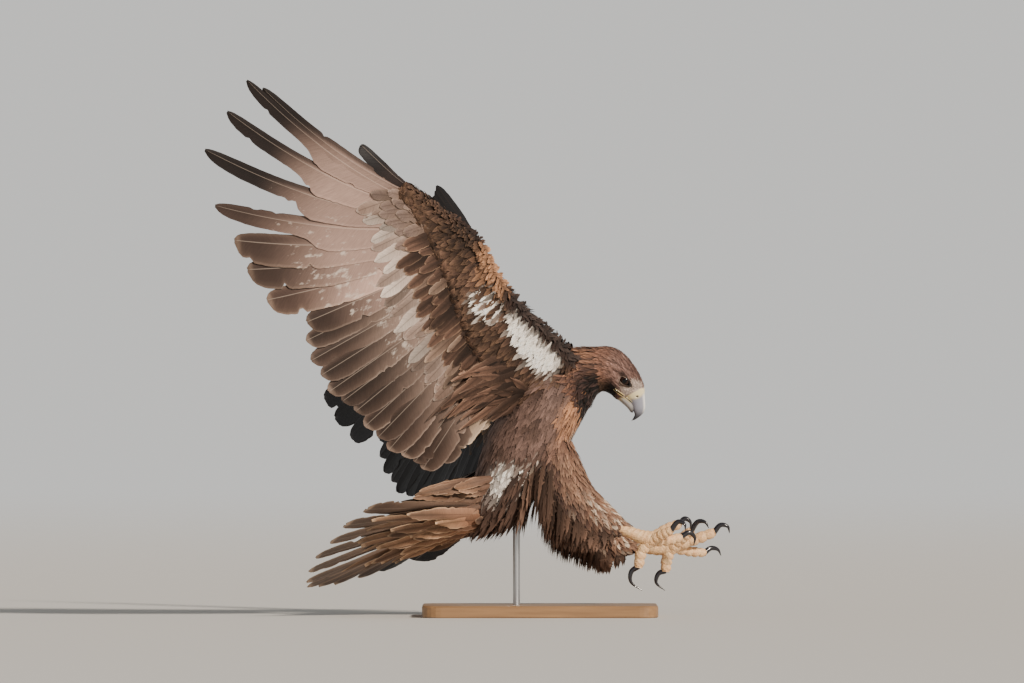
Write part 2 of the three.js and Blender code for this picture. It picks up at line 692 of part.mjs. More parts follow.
function headShape() {
  const pieces = [outlineBody(HEAD, { rings: 2 })];
  [1, -1].forEach((side) => {
    const put = ([x, y, z]) => vec(x, side * y, z);
    pieces.push(limb(BROW.path.map(put), BROW.radii, { sides: 6, steps: 4 }));
    LIPS.forEach(({ path, radii }) => {
      pieces.push(limb(path.map(put), radii, { sides: 5, steps: 3 }));
    });
    const rim = new THREE.TorusGeometry(LIDS.radius, LIDS.rim, LIDS.sides, LIDS.steps);
    pieces.push(solid(rim.rotateX(Math.PI / 2).translate(EYE.x, side * LIDS.y, EYE.z)));
  });
  return cut(unite(pieces), eyeSolid(1, GAP), eyeSolid(-1, GAP));
}

function upperBillShape(grow = 0) {
  const pits = [1, -1].map((side) => solid(new THREE.SphereGeometry(NOSTRIL.radius, 8, 6)
    .scale(1, 1, 1.4).translate(NOSTRIL.x, side * NOSTRIL.y, NOSTRIL.z)));
  const bill = outlineBody(BILL_UPPER, { sides: 10, rings: 2, grow });
  return grow ? bill : cut(bill, ...pits);
}

const torsoGrown = torsoShape(GAP);
const headGrown = outlineBody(HEAD, { rings: 2, grow: GAP });
const neckGrown = neckShape(GAP);

place('stand_base', baseGeometry(), baseWood);
place('stand_rod', cut(rodSolid(), torsoGrown), rodSteel);
place('torso', torsoShape(0), bodyBrown);
place('neck', cut(neckShape(0), torsoGrown, headGrown), hackleGold);
place('head', headShape(), bodyBrown);
place('bill_upper', cut(upperBillShape(), headGrown), billGrey);
place('bill_lower', cut(outlineBody(BILL_LOWER, { sides: 10, rings: 2 }), headGrown,
  upperBillShape(GAP)), billGrey);
place('eye_right', eyeSolid(-1), eyeBrown);
place('eye_left', eyeSolid(1), eyeBrown);
Object.entries(WINGS).forEach(([name, wing]) => {
  place(`wing_${name}`, cut(wingSolid(wing), torsoGrown, neckGrown), wingBrown);
});
place('tail', cut(tailSolid(), torsoGrown), tailBrown);

Object.entries(LEGS).forEach(([name, leg]) => {
  const put = ([x, y, z]) => vec(x, leg.side * y, z);
  const footShape = (grow) => unite([
    limb(leg.tarsus.map(put), TARSUS.radii,
      { sides: TARSUS.sides, steps: TOE.steps, grow }),
    ...leg.toes.map(({ path, radius }) =>
      limb(path.map(put), [radius, radius - 1, radius - 1.5], { ...TOE, grow })),
  ]);
  place(`thigh_${name}`, cut(thighShape(leg, 0), torsoGrown), bodyBrown);
  place(`foot_${name}`, cut(footShape(0), thighShape(leg, GAP)), bareYellow);
  leg.toes.forEach(({ claw }, index) => {
    const horn = limb(claw.map(put), [CLAW.radius, CLAW.radius * 0.75, CLAW.tip], CLAW);
    place(`claw_${name}_${index + 1}`, cut(horn, footShape(GAP)), hornBlack);
  });
});

export default eagle;
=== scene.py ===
"""Golden eagle coming in to land, as a life-size museum model on a stand.

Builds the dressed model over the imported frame: one skin, its feathers, and the bare parts.
Lengths are in millimetres here and in metres in Blender. The bill points to +X, the bird's
right side to -Y, and the origin is the middle of the underside of the base.
"""

import math

import bpy
import numpy as np
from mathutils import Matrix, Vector
from mathutils.bvhtree import BVHTree
from mathutils.kdtree import KDTree


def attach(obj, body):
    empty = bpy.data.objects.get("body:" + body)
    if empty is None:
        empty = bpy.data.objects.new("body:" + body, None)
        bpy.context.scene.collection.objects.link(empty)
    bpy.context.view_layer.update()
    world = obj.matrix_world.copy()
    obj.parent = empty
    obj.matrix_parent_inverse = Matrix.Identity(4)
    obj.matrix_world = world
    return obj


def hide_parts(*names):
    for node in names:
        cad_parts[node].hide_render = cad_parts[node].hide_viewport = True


bl_info = {
    "name": "Landing Golden Eagle",
    "version": (1, 0, 0),
    "blender": (4, 5, 0),
    "location": "View3D > Sidebar > Eagle",
    "description": "Builds a life-size golden eagle with feathers of mesh on a display stand",
    "category": "Add Mesh",
}

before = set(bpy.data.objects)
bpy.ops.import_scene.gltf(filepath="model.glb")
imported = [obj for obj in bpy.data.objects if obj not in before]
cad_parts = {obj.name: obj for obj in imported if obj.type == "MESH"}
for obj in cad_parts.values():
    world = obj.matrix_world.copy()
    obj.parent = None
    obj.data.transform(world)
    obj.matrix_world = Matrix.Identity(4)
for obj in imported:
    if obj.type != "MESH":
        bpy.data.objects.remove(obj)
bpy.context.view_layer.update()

MM = 0.001

# Body outlines: x and z of the back edge, x and z of the front edge, half width.
TORSO = np.array([
    [14, 456, 85, 375, 56], [-7, 440, 83, 344, 76], [-36, 411, 71, 320, 88],
    [-63, 375, 56, 292, 90], [-85, 334, 37, 256, 85], [-102, 290, 8, 215, 73],
    [-112, 252, -27, 168, 61], [-118, 225, -66, 146, 50], [-124, 208, -98, 148, 38]], float)
NECK = np.array([
    [17, 449, 68, 352, 52], [27, 454, 85, 348, 56], [48, 460, 93, 366, 47],
    [71, 462, 102, 377, 38], [97, 462, 110, 381, 33], [112, 452, 115, 390, 25]], float)
HEAD = np.array([
    [97, 462, 110, 381, 33], [116, 462, 116, 378, 33.5], [134, 456, 119, 377, 33],
    [150, 442, 122, 374, 30.5], [162, 427, 126, 371, 27.5], [171, 411, 130, 368, 23.5],
    [176.3, 397, 136, 368, 17.5], [178.6, 387, 146, 374.5, 14.6]], float)
THIGHS = {
    "right": np.array([
        [-12, 296, 50, 310, 18], [-14, 264, 58, 284, 34], [-12, 228, 76, 243, 36],
        [12, 186, 96, 217, 30], [48, 152, 116, 195, 23], [92, 134, 137, 173, 16],
        [134, 136, 160, 153, 10]], float),
    "left": np.array([
        [-4, 294, 58, 306, 18], [-5, 262, 68, 280, 34], [-2, 212, 88, 232, 36],
        [26, 158, 109, 191, 30], [68, 120, 129, 157, 23], [112, 96, 153, 133, 16],
        [160, 106, 184, 125, 10]], float),
}
THIGH_Y = {"right": -46, "left": 46}

# Wings. A place on a wing is u, from the shoulder towards the tip, v, back from the leading
# edge, and a height off the middle surface towards the underside.
SHOULDER = (34, 60, 443)
WING_START, WING_END = -20, 386
WING_CURL, WING_WASH, WING_CAMBER = 0.00005, 0.3, 18
WINGS = {
    "right": {"side": -1, "angle": math.radians(139.5), "reach": 1, "spread": 0.8,
              "breadth": 1},
    "left": {"side": 1, "angle": math.radians(157), "reach": 0.64, "spread": 1.1,
             "breadth": 1.1},
}
LEADING_EDGE = np.array([[-20, -18], [54, -23], [120, -26], [180, -41], [229, -62], [287, -63],
                         [339, -60], [386, -54]], float)
QUILL_LINE = np.array([[-20, 108], [31, 107], [78, 102], [133, 89], [197, 55], [253, 21],
                       [300, -1], [347, -17], [386, -30]], float)
WING_HALF = np.array([[-20, 26], [60, 23], [150, 20], [230, 16], [300, 12], [386, 8]], float)
WING_SECTION = np.array([[0, 0.3], [0.06, 0.75], [0.2, 1], [0.45, 0.95], [0.75, 0.7], [1, 0.4]])

# Flight feathers: root u and v, tip u and v, reach of the vane to its leading and trailing side.
PRIMARIES = np.array([
    [366, -52, 473, -56, 7, 17], [366, -44, 656, -19, 12, 22], [353, -36, 684, -12, 10, 32],
    [338, -30, 675, 48, 11, 40], [322, -25, 662, 119, 12, 40], [306, -20, 592, 179, 14, 42],
    [290, -16, 533, 203, 16, 40], [275, -11, 487, 227, 17, 38], [261, -7, 432, 246, 17, 36],
    [247, -2, 360, 232, 15, 32]], float)
SECONDARIES, AXILLARIES, TAIL_PAIRS = 15, 36, 6
SECONDARY_ROOTS = np.array([[232, 4], [192, 28], [150, 50], [113, 66], [80, 74], [50, 78]], float)
SECONDARY_TIPS = np.array([[341, 262], [262, 292], [185, 300], [107, 304], [50, 291],
                           [38, 190]], float)
FINGER = np.array([[0, 0.2, 0.1], [0.1, 0.6, 0.4], [0.3, 0.9, 0.8], [0.48, 1, 1],
                   [0.53, 0.97, 0.9], [0.58, 0.9, 0.6], [0.64, 0.86, 0.5], [0.84, 0.78, 0.47],
                   [0.93, 0.64, 0.38], [0.97, 0.46, 0.28], [0.99, 0.28, 0.17], [1, 0.1, 0.07]])
BLADE = np.array([[0, 0.2, 0.1], [0.25, 0.75, 0.65], [0.6, 1, 1], [0.86, 0.98, 0.97],
                  [0.93, 0.88, 0.86], [0.965, 0.72, 0.7], [0.985, 0.52, 0.5], [0.995, 0.3, 0.3],
                  [1, 0.12, 0.12]])
OVAL = np.array([[0, 0.5, 0.5], [0.4, 1, 1], [0.75, 0.96, 0.96], [0.88, 0.8, 0.8],
                 [0.96, 0.5, 0.5], [1, 0.12, 0.12]])
COVERT_LEAF = np.array([[0, 0.4, 0.4], [0.35, 0.95, 0.95], [0.6, 1, 1], [0.8, 0.84, 0.84],
                        [0.92, 0.52, 0.52], [0.98, 0.24, 0.24], [1, 0.08, 0.08]])
LANCE = np.array([[0, 0.4, 0.4], [0.3, 1, 1], [0.6, 0.9, 0.9], [0.85, 0.5, 0.5],
                  [0.95, 0.24, 0.24], [1, 0.04, 0.04]])
OVAL_LEAF = np.array([[0, 0.35], [0.3, 0.85], [0.6, 1], [0.82, 0.78], [0.94, 0.42], [1, 0.1]])
ROUND_LEAF = np.array([[0, 0.5], [0.2, 0.8], [0.45, 0.98], [0.65, 1], [0.82, 0.92],
                       [0.93, 0.74], [1, 0.42]])
POINTED_LEAF = np.array([[0, 0.5], [0.25, 0.95], [0.4, 1], [0.7, 0.72], [0.9, 0.36], [1, 0.1]])
LOOSE_LEAF = np.array([[0, 0.35], [0.3, 0.8], [0.55, 1], [0.8, 0.8], [0.92, 0.45], [1, 0.12]])

# How a vane leans across its shaft, how a primary's finger curls and bows, and how a small
# feather cups and rises along its length.
VANE_TILT, FINGER_CURL, FINGER_BOW = 0.085, -70, 0.05
LEAF_CUP, LEAF_RISE = 0.07, 0.9

# A large feather where its own dict says nothing else, then a small one, and the two common
# kinds of small ones.
VANE = {"low": 0, "high": 0, "fade": (0.55, 0.95), "fray": 0.03, "splits": 2, "wave": 0.8,
        "tilt": VANE_TILT, "cup": 1.0, "quill": 1.1, "vary": 0.07, "face": 1, "mottle": 0.0,
        "flecked": (0.7, 0.88)}
# root is how much of its colour a small feather keeps at its root, a painted shade under the
# feathers that overlap it.
LEAF = {"rows": 7, "yaw": 0.12, "sink": 1.5, "cling": (1, 1), "fall": (0, 0, 0), "teeth": 8,
        "core": 0.7, "fray": 0.16, "vary": 0.14, "root": 0.5}
LOOSE = {"leaf": LOOSE_LEAF, "fray": 0.4, "core": 0.5}
POINTED = {"leaf": POINTED_LEAF, "fray": 0.3, "vary": 0.16}

# Tail.
TAIL_ROOT = np.array([-85, 0, 189.5])
TAIL_DROOP = math.radians(24)
TAIL_AXIS = np.array([-math.cos(TAIL_DROOP), 0, -math.sin(TAIL_DROOP)])
TAIL_UP = np.array([-math.sin(TAIL_DROOP), 0, math.cos(TAIL_DROOP)])
TAIL_RISE = {"near": math.radians(19), "far": math.radians(-8)}
TAIL_SPREAD = {"near": 53, "far": 60}
TAIL_LENGTH, TAIL_HALF = 340, 27
TAIL_CORE = np.array([[-20, 40, 42, 8], [20, 46, 38, 18], [70, 50, 31, 19], [125, 46, 20, 11],
                      [180, 30, 7, 4]], float)

# Bill, from the cere to the tip, the gape on its side, and the eyes with half of the long
# way across their lids, the short ways above and below, and their slant.
BILL_UPPER = np.array([
    [170, 404, 134, 384, 15], [175.6, 392, 143.5, 375.5, 14], [177.8, 379, 150, 367.8, 12.5],
    [178.7, 366, 155.4, 360.6, 10.5], [178.8, 355, 157.8, 353.6, 8.6],
    [176.1, 346.6, 159.4, 348, 6.4], [170, 340.2, 160.8, 343.2, 4.2],
    [162.5, 335.1, 158.8, 338.1, 2.4], [155.7, 331.7, 155, 333.4, 0.9]], float)
GAPE = np.array([[[124, 390], [135, 381.8], [147, 373], [157, 364.5]],
                 [[122, 388.4], [132.6, 379.4], [144.6, 370.6], [154.6, 362]]], float)
BILL_LOWER = np.array([
    [132, 384.5, 126, 374, 14], [142.5, 378.7, 132.9, 368.2, 12.5],
    [151.6, 371, 140.4, 361.7, 10.5], [157.6, 362.8, 147.6, 355.4, 8.2],
    [160, 355, 152.7, 349.2, 6], [160, 348, 155.7, 344.8, 3.4]], float)
EYE = {"x": 143.5, "y": 23.2, "z": 400.5}
LID_LONG, LID_ABOVE, LID_BELOW, LID_SLANT = 10.8, 4.2, 5.4, math.radians(38)
BROW = np.array([[122, 27, 421], [135, 30, 417], [148, 29.5, 408.5], [161, 21, 391]], float)

# Feet: paths of x, distance from the mirror plane and z, with the claw that ends each toe.
FEET = {
    "right": {"side": -1, "tarsus": [[136, 49, 150], [154, 50, 143], [172, 50, 136],
                                     [190, 50, 132]], "toes": [
        ([[187, 49, 131], [211, 47, 147], [238, 45, 159]], 9.5,
         [[236, 45, 158], [246, 45, 167], [255, 45, 161], [255, 45, 149]]),
        ([[187, 53, 130], [206, 65, 140], [224, 74, 149]], 8.5,
         [[222, 73, 148], [234, 79, 162], [245, 83, 158], [246, 85, 147]]),
        ([[187, 45, 129], [214, 33, 130], [240, 22, 135]], 9,
         [[238, 23, 135], [254, 19, 143], [263, 17, 134], [261, 17, 121]]),
        ([[186, 50, 130], [172, 48, 110], [167, 46, 84]], 9.5,
         [[167, 46, 86], [155, 46, 77], [154, 46, 60], [173, 46, 45]])]},
    "left": {"side": 1, "tarsus": [[158, 50, 117], [180, 51, 116], [204, 52, 115],
                                   [227, 52, 118]], "toes": [
        ([[224, 51, 118], [263, 49, 130], [298, 48, 143]], 9.5,
         [[296, 48, 142], [308, 48, 155], [320, 48, 152], [323, 48, 141]]),
        ([[224, 55, 117], [255, 68, 110], [282, 79, 107]], 8.5,
         [[280, 78, 107], [292, 83, 115], [304, 88, 112], [309, 90, 102]]),
        ([[224, 47, 118], [243, 35, 134], [259, 26, 146]], 9,
         [[257, 27, 145], [269, 21, 161], [281, 16, 160], [287, 14, 150]]),
        ([[223, 52, 116], [216, 50, 96], [214, 48, 75]], 9.5,
         [[214, 48, 77], [202, 48, 72], [198, 48, 57], [213, 48, 43]])]},
}
TARSUS_RADII = [8, 10, 12, 14]
CLAW_RADII = [5, 3.75, 0.5]


# Colour and materials.

def rgb(code):
    """Turns an sRGB hex colour into linear red, green and blue."""
    parts = np.array([int(code[i:i + 2], 16) for i in (1, 3, 5)]) / 255
    return np.where(parts <= 0.04045, parts / 12.92, ((parts + 0.055) / 1.055) ** 2.4)


def rgba(colour):
    """A hex or a linear colour with full alpha, for a socket."""
    return (*(rgb(colour) if isinstance(colour, str) else colour), 1.0)


def add_node(tree, kind, inputs=None, **settings):
    """Adds a node and sets its settings and inputs. An input takes a value or a link.

    A link is given as a socket, or as a node whose first output it comes from.
    """
    node = tree.nodes.new(kind)
    for name, value in settings.items():
        setattr(node, name, value)
    for name, value in (inputs or {}).items():
        if isinstance(value, bpy.types.Node):
            value = value.outputs[0]
        if isinstance(value, bpy.types.NodeSocket):
            tree.links.new(value, node.inputs[name])
        else:
            node.inputs[name].default_value = value
    return node


def new_material(name):
    """An empty material, and its tree of nodes."""
    material = bpy.data.materials.new(name)
    material.use_nodes = True
    material.node_tree.nodes.clear()
    return material, material.node_tree


def finish_surface(tree, inputs):
    """Ends a material in a Principled shader with these values and links."""
    shader = add_node(tree, "ShaderNodeBsdfPrincipled", inputs)
    add_node(tree, "ShaderNodeOutputMaterial", {"Surface": shader})


def painted_material(name, inputs):
    """A smooth material in the colours that are painted on the mesh."""
    material, tree = new_material(name)
    tint = add_node(tree, "ShaderNodeAttribute", attribute_name="tint")
    finish_surface(tree, {"Base Color": tint, **inputs})
    return material


def cells(size):
    """Scale of a pattern in metres whose cells are size millimetres wide."""
    return 1 / (size * MM)


# Size of a clump of barbs and of a pale blotch, in millimetres across and along the barbs.
# Real barbs lie 0.3 mm apart, too fine to show, so clumps of them are drawn five times as
# coarse.
BARB_CLUMP, BLOTCH = (1.389, 13.89), (13.89, 10.417)


def feather_material(name, roughness, sheen, streak, shaft, mottle=0.0):
    """Grown keratin vanes: the tint of each, streaked along its barbs, and its shaft.

    To the eye that is a matt vane with a faint grain and a soft sheen. shaft is a colour, its
    strength and how wide it is as a share of the vane. mottle is how strong pale blotches are.
    """
    material, tree = new_material(name)
    tint, barb, mark = (add_node(tree, "ShaderNodeAttribute", attribute_name=title)
                        for title in ("tint", "barb", "mark"))
    parts = add_node(tree, "ShaderNodeSeparateXYZ", {0: mark.outputs["Vector"]})
    laid = add_node(tree, "ShaderNodeMapping", {
        "Vector": barb.outputs["Vector"], "Scale": (1 / BARB_CLUMP[0], 1 / BARB_CLUMP[1], 0.8)})
    barbs = add_node(tree, "ShaderNodeTexNoise", {
        "Vector": laid, "Scale": 1.0, "Detail": 3.0, "Roughness": 0.65})
    shade = add_node(tree, "ShaderNodeMapRange", {
        "Value": barbs, "From Min": 0.3, "From Max": 0.7,
        "To Min": 1 - streak, "To Max": 1 + streak})
    colour = add_node(tree, "ShaderNodeVectorMath", {0: tint, "Scale": shade}, operation="SCALE")
    if mottle:
        laid = add_node(tree, "ShaderNodeMapping", {
            "Vector": barb.outputs["Vector"], "Scale": (1 / BLOTCH[0], 1 / BLOTCH[1], 1.2)})
        cloud = add_node(tree, "ShaderNodeTexNoise", {
            "Vector": laid, "Scale": 1.0, "Detail": 3.0, "Roughness": 0.62})
        amount = add_node(tree, "ShaderNodeMath", {
            0: cloud, 1: parts.outputs["Z"]}, operation="ADD")
        spots = add_node(tree, "ShaderNodeMapRange", {
            "Value": amount, "From Min": 1.0, "From Max": 1.14, "To Max": mottle})
        colour = add_node(tree, "ShaderNodeMix", {
            "Factor": spots, 6: colour, 7: rgba("#d3c6bb")},
            data_type="RGBA").outputs[2]
    across = add_node(tree, "ShaderNodeMath", {0: parts.outputs["Y"]}, operation="ABSOLUTE")
    middle = add_node(tree, "ShaderNodeMapRange", {
        "Value": across, "From Min": shaft[2] * 0.4, "From Max": shaft[2],
        "To Min": shaft[1], "To Max": 0.0})
    colour = add_node(tree, "ShaderNodeMix", {
        "Factor": middle, 6: colour, 7: rgba(shaft[0])}, data_type="RGBA").outputs[2]
    bump = add_node(tree, "ShaderNodeBump", {
        "Height": barbs, "Strength": 0.4, "Distance": 0.8 * MM})
    finish_surface(tree, {
        "Base Color": colour, "Normal": bump, "Roughness": roughness,
        "Sheen Weight": sheen, "Sheen Roughness": 0.5, "Specular IOR Level": 0.22})
    return material


# Meshes from arrays.

def mesh_piece(name, points, faces, material, slot, tints=None, barbs=None, marks=None, uvs=None):
    """Makes one smooth mesh object, in metres, from arrays in millimetres."""
    points = np.asarray(points, float).reshape(-1, 3)
    faces = np.asarray(faces, np.int32)
    sides = faces.shape[1]
    mesh = bpy.data.meshes.new(name)
    mesh.vertices.add(len(points))
    mesh.vertices.foreach_set("co", (points * MM).ravel())
    mesh.loops.add(faces.size)
    mesh.loops.foreach_set("vertex_index", faces.ravel())
    mesh.polygons.add(len(faces))
    mesh.polygons.foreach_set("loop_start", np.arange(len(faces), dtype=np.int32) * sides)
    mesh.polygons.foreach_set("use_smooth", np.ones(len(faces), bool))
    if uvs is not None:
        layer = mesh.uv_layers.new(name="OFBake")
        layer.data.foreach_set("uv", np.asarray(uvs, float).reshape(-1, 2)[faces.ravel()].ravel())
    for title, values in (("tint", tints), ("barb", barbs), ("mark", marks)):
        if values is None:
            continue
        kind, key, values = "FLOAT_VECTOR", "vector", np.reshape(values, (len(points), 3))
        if title == "tint":
            kind, key = "FLOAT_COLOR", "color"
            values = np.hstack([values, np.ones((len(values), 1))])
        mesh.attributes.new(title, kind, "POINT").data.foreach_set(key, values.ravel())
    mesh.update(calc_edges=True)
    mesh.validate()
    piece = bpy.data.objects.new(name, mesh)
    bpy.context.collection.objects.link(piece)
    mesh.materials.append(material)
    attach(piece, "root")
    return piece


def grid_faces(count, rows, cols):
    """Quads of count separate sheets, each of rows by cols points."""
    row, col = np.meshgrid(np.arange(rows - 1), np.arange(cols - 1), indexing="ij")
    first = (row * cols + col).ravel()
    quads = np.stack([first, first + 1, first + cols + 1, first + cols], 1)
    return (quads[None] + (np.arange(count) * rows * cols)[:, None, None]).reshape(-1, 4)


def tube_faces(rows, cols):
    """Quads round a tube, with its ends closed by folding each end ring in half."""
    row, col = np.meshgrid(np.arange(rows - 1), np.arange(cols), indexing="ij")
    beside = (col + 1) % cols
    quads = np.stack([row * cols + col, row * cols + beside, (row + 1) * cols + beside,
                      (row + 1) * cols + col], -1).reshape(-1, 4)
    caps = []
    for base, order in ((0, -1), ((rows - 1) * cols, 1)):
        for k in range(cols // 2 - 1):
            ends = [base + k, base + k + 1, base + cols - 2 - k, base + cols - 1 - k]
            caps.append(ends[::order])
    return np.vstack([quads, caps])


def tube(path, radii, sides, rows, bumps=None):
    """A round tube along a smooth path. bumps(place, turn) adds to its radius."""
    places = np.linspace(0, 1, rows)
    line = smooth_line(path, places)
    along = unit(np.gradient(line, axis=0))
    first = unit(np.cross(along, [0, 1, 0]))
    second = np.cross(along, first)
    radius = np.interp(places, np.linspace(0, 1, len(radii)), radii)
    turn = np.linspace(0, 2 * math.pi, sides, endpoint=False)
    reach = radius[:, None] + (bumps(places[:, None], turn[None]) if bumps else 0)
    points = line[:, None] + first[:, None] * (reach * np.cos(turn))[..., None] \
        + second[:, None] * (reach * np.sin(turn))[..., None]
    return points.reshape(-1, 3), tube_faces(rows, sides)


def joined(tubes):
    """Points and faces of several tubes as one."""
    points, faces, total = [], [], 0
    for p, f in tubes:
        points.append(p)
        faces.append(f + total)
        total += len(p)
    return np.vstack(points), np.vstack(faces)


def smooth_line(points, places):
    """Reads a centripetal spline through points at places from 0 to 1."""
    p = np.asarray(points, float)
    p = np.vstack([2 * p[0] - p[1], p, 2 * p[-1] - p[-2]])
    spans = len(p) - 3
    t = np.clip(np.asarray(places, float), 0, 1) * spans
    i = np.minimum(t.astype(int), spans - 1)
    w = (t - i)[..., None]
    a, b, c, d = p[i], p[i + 1], p[i + 2], p[i + 3]

    def gap(q, r):
        return np.maximum(np.sqrt(np.linalg.norm(q - r, axis=-1)), 1e-3)[..., None]

    ab, bc, cd = gap(a, b), gap(b, c), gap(c, d)
    start = ((b - a) / ab - (c - a) / (ab + bc) + (c - b) / bc) * bc
    end = ((c - b) / bc - (d - b) / (bc + cd) + (d - c) / cd) * bc
    return (b + start * w + (3 * (c - b) - 2 * start - end) * w ** 2
            + (2 * (b - c) + start + end) * w ** 3)


def table(rows, place, column=1):
    """Reads a column of a table at places along its first column."""
    return np.interp(place, rows[:, 0], rows[:, column])


def ring_grid(first, last, rows, sides):
    """Places from first to last along a form and angles round it, as two grids."""
    return np.meshgrid(np.linspace(first, last, rows),
                       np.linspace(0, 2 * math.pi, sides, endpoint=False), indexing="ij")


def unit(v):
    """Vectors at length one."""
    return v / np.maximum(np.linalg.norm(v, axis=-1, keepdims=True), 1e-9)


def ramp(value, low, high):
    """A smooth step from 0 to 1."""
    t = np.clip((value - low) / (high - low), 0, 1)
    return t * t * (3 - 2 * t)


def mix(a, b, share):
    """Colours or points between a and b. A colour may be given by its hex code."""
    a, b = (rgb(end) if isinstance(end, str) else np.asarray(end) for end in (a, b))
    return a + (b - a) * np.asarray(share)[..., None]


def patches(points, size, seed):
    """A smooth random value from 0 to 1 that changes over the given size."""
    rng = np.random.default_rng(seed)
    total = np.zeros(points.shape[:-1])
    for _ in range(8):
        way = unit(rng.normal(size=3)) * (2 * math.pi / size) * rng.uniform(0.6, 1.5)
        total += np.sin(points @ way + rng.uniform(0, 2 * math.pi))
    return np.clip(0.5 + total / 8, 0, 1)


def blob(points, centre, size):
    """1 inside an oval, on both sides of the mirror plane, fading to 0 at its rim."""
    places = np.stack([points[..., 0], np.abs(points[..., 1]), points[..., 2]], -1)
    return 1 - ramp(np.linalg.norm((places - centre) / size, axis=-1), 0.55, 1.0)


def oval(x, y, centre, size, turn=(1.0, 0.0)):
    """How far places are from the middle of an oval, 1 at its rim. turn is a cosine and sine."""
    run, rise = x - centre[0], y - centre[1]
    return np.hypot((run * turn[0] - rise * turn[1]) / size[0],
                    (run * turn[1] + rise * turn[0]) / size[1])


# Surfaces of the body.

SKIN_VOXEL, DOWN_TUFT = 2.8, 5.556
PARTS = ("torso", "neck", "head", "thigh_right", "thigh_left", "tail", "wing_right", "wing_left")


def unwrap(part, share, around):
    """Places on the unwrapped skin, where each part of the body is cut open to a rectangle.

    part is a number in PARTS, share runs along it and around goes from 0 to 1 round it.
    """
    return np.stack([(part % 4 + 0.04 + 0.92 * np.clip(share, 0, 1)) / 4,
                     (part // 4 + 0.04 + 0.92 * around) / 2], -1)


def outline_point(stations, share, turn, y=0.0, inset=0.0):
    """A point on an oval body at a share of its length and an angle from its front edge."""
    back = smooth_line(stations[:, [0, 4, 1]], share)
    front = smooth_line(stations[:, [2, 4, 3]], share)
    centre = (back + front) / 2
    depth = (front - back) / 2
    depth[..., 1] = 0
    length = np.linalg.norm(depth, axis=-1, keepdims=True)
    depth *= np.maximum(length - np.asarray(inset)[..., None], 1) / length
    half = np.maximum(back[..., 1] - inset, 1)
    point = centre + depth * np.cos(turn)[..., None]
    point[..., 1] = y + half * np.sin(turn)
    return point


def wing_middle(wing, u, v):
    """Middle surface of a wing."""
    angle, v = wing["angle"], wing["breadth"] * v
    wash = WING_WASH * ramp(u, 0, 300) * v
    camber = WING_CAMBER * np.sin(np.pi * np.clip((v + 40) / 360, 0, 1))
    depth = SHOULDER[1] + wing["spread"] * u - WING_CURL * u * u + wash - camber
    run = wing["reach"] * u
    return np.stack([SHOULDER[0] + run * math.cos(angle) - v * math.sin(angle),
                     wing["side"] * depth,
                     SHOULDER[2] + run * math.sin(angle) + v * math.cos(angle)], -1)


def wing_point(wing, u, v, height):
    """A point on a wing at a height off its middle surface, towards the underside."""
    along = wing_middle(wing, u + 2, v) - wing_middle(wing, u - 2, v)
    across = wing_middle(wing, u, v + 2) - wing_middle(wing, u, v - 2)
    under = unit(np.cross(along, across)) * -wing["side"]
    return wing_middle(wing, u, v) + under * np.asarray(height)[..., None]


def wing_round(u, place):
    """How far back a place round a wing's section is, from 0 to 1, and its v."""
    chord = np.where(place < 0.5, place * 2, 2 - place * 2)
    return chord, table(LEADING_EDGE, u) * (1 - chord) + table(QUILL_LINE, u) * chord


def wing_core_point(wing, u, place, shrink=1.0):
    """A point on the thick part of a wing. The underside runs from 0 to 0.5 front to back."""
    chord, v = wing_round(u, place)
    half = table(WING_HALF, u) * table(WING_SECTION, chord) * shrink
    return wing_point(wing, u, v, np.where(place < 0.5, half, -half))


def tail_frame(angle):
    """Directions of a tail feather at an angle from the middle line, near side positive."""
    rise = TAIL_RISE["far" if angle < 0 else "near"]
    outward = np.array([0, 1 if angle < 0 else -1, 0]) * math.cos(rise) + TAIL_UP * math.sin(rise)
    c, s = math.cos(math.radians(angle)), math.sin(math.radians(abs(angle)))
    along = TAIL_AXIS * c + outward * s
    across = outward * c - TAIL_AXIS * s
    normal = np.cross(along, across)
    return along, across, normal * (1 if normal @ TAIL_UP > 0 else -1)


def tail_core_point(share, turn, shrink=1.0):
    """A point on the fleshy root of the tail."""
    row = np.clip(share, 0, 1) * (len(TAIL_CORE) - 1)
    reach, half, thick, lift = (np.interp(row, np.arange(len(TAIL_CORE)), column)
                                for column in TAIL_CORE.T)
    tilt = (TAIL_RISE["near"] - TAIL_RISE["far"]) / 2
    side = np.array([0, -math.cos(tilt), 0]) + TAIL_UP * math.sin(tilt)
    lifted = np.cross(side, TAIL_AXIS)
    lifted = lifted if lifted @ TAIL_UP > 0 else -lifted
    return (TAIL_ROOT + TAIL_AXIS * reach[..., None] + TAIL_UP * lift[..., None]
            + lifted * (thick * shrink * np.cos(turn))[..., None]
            + side * (half * shrink * np.sin(turn))[..., None])


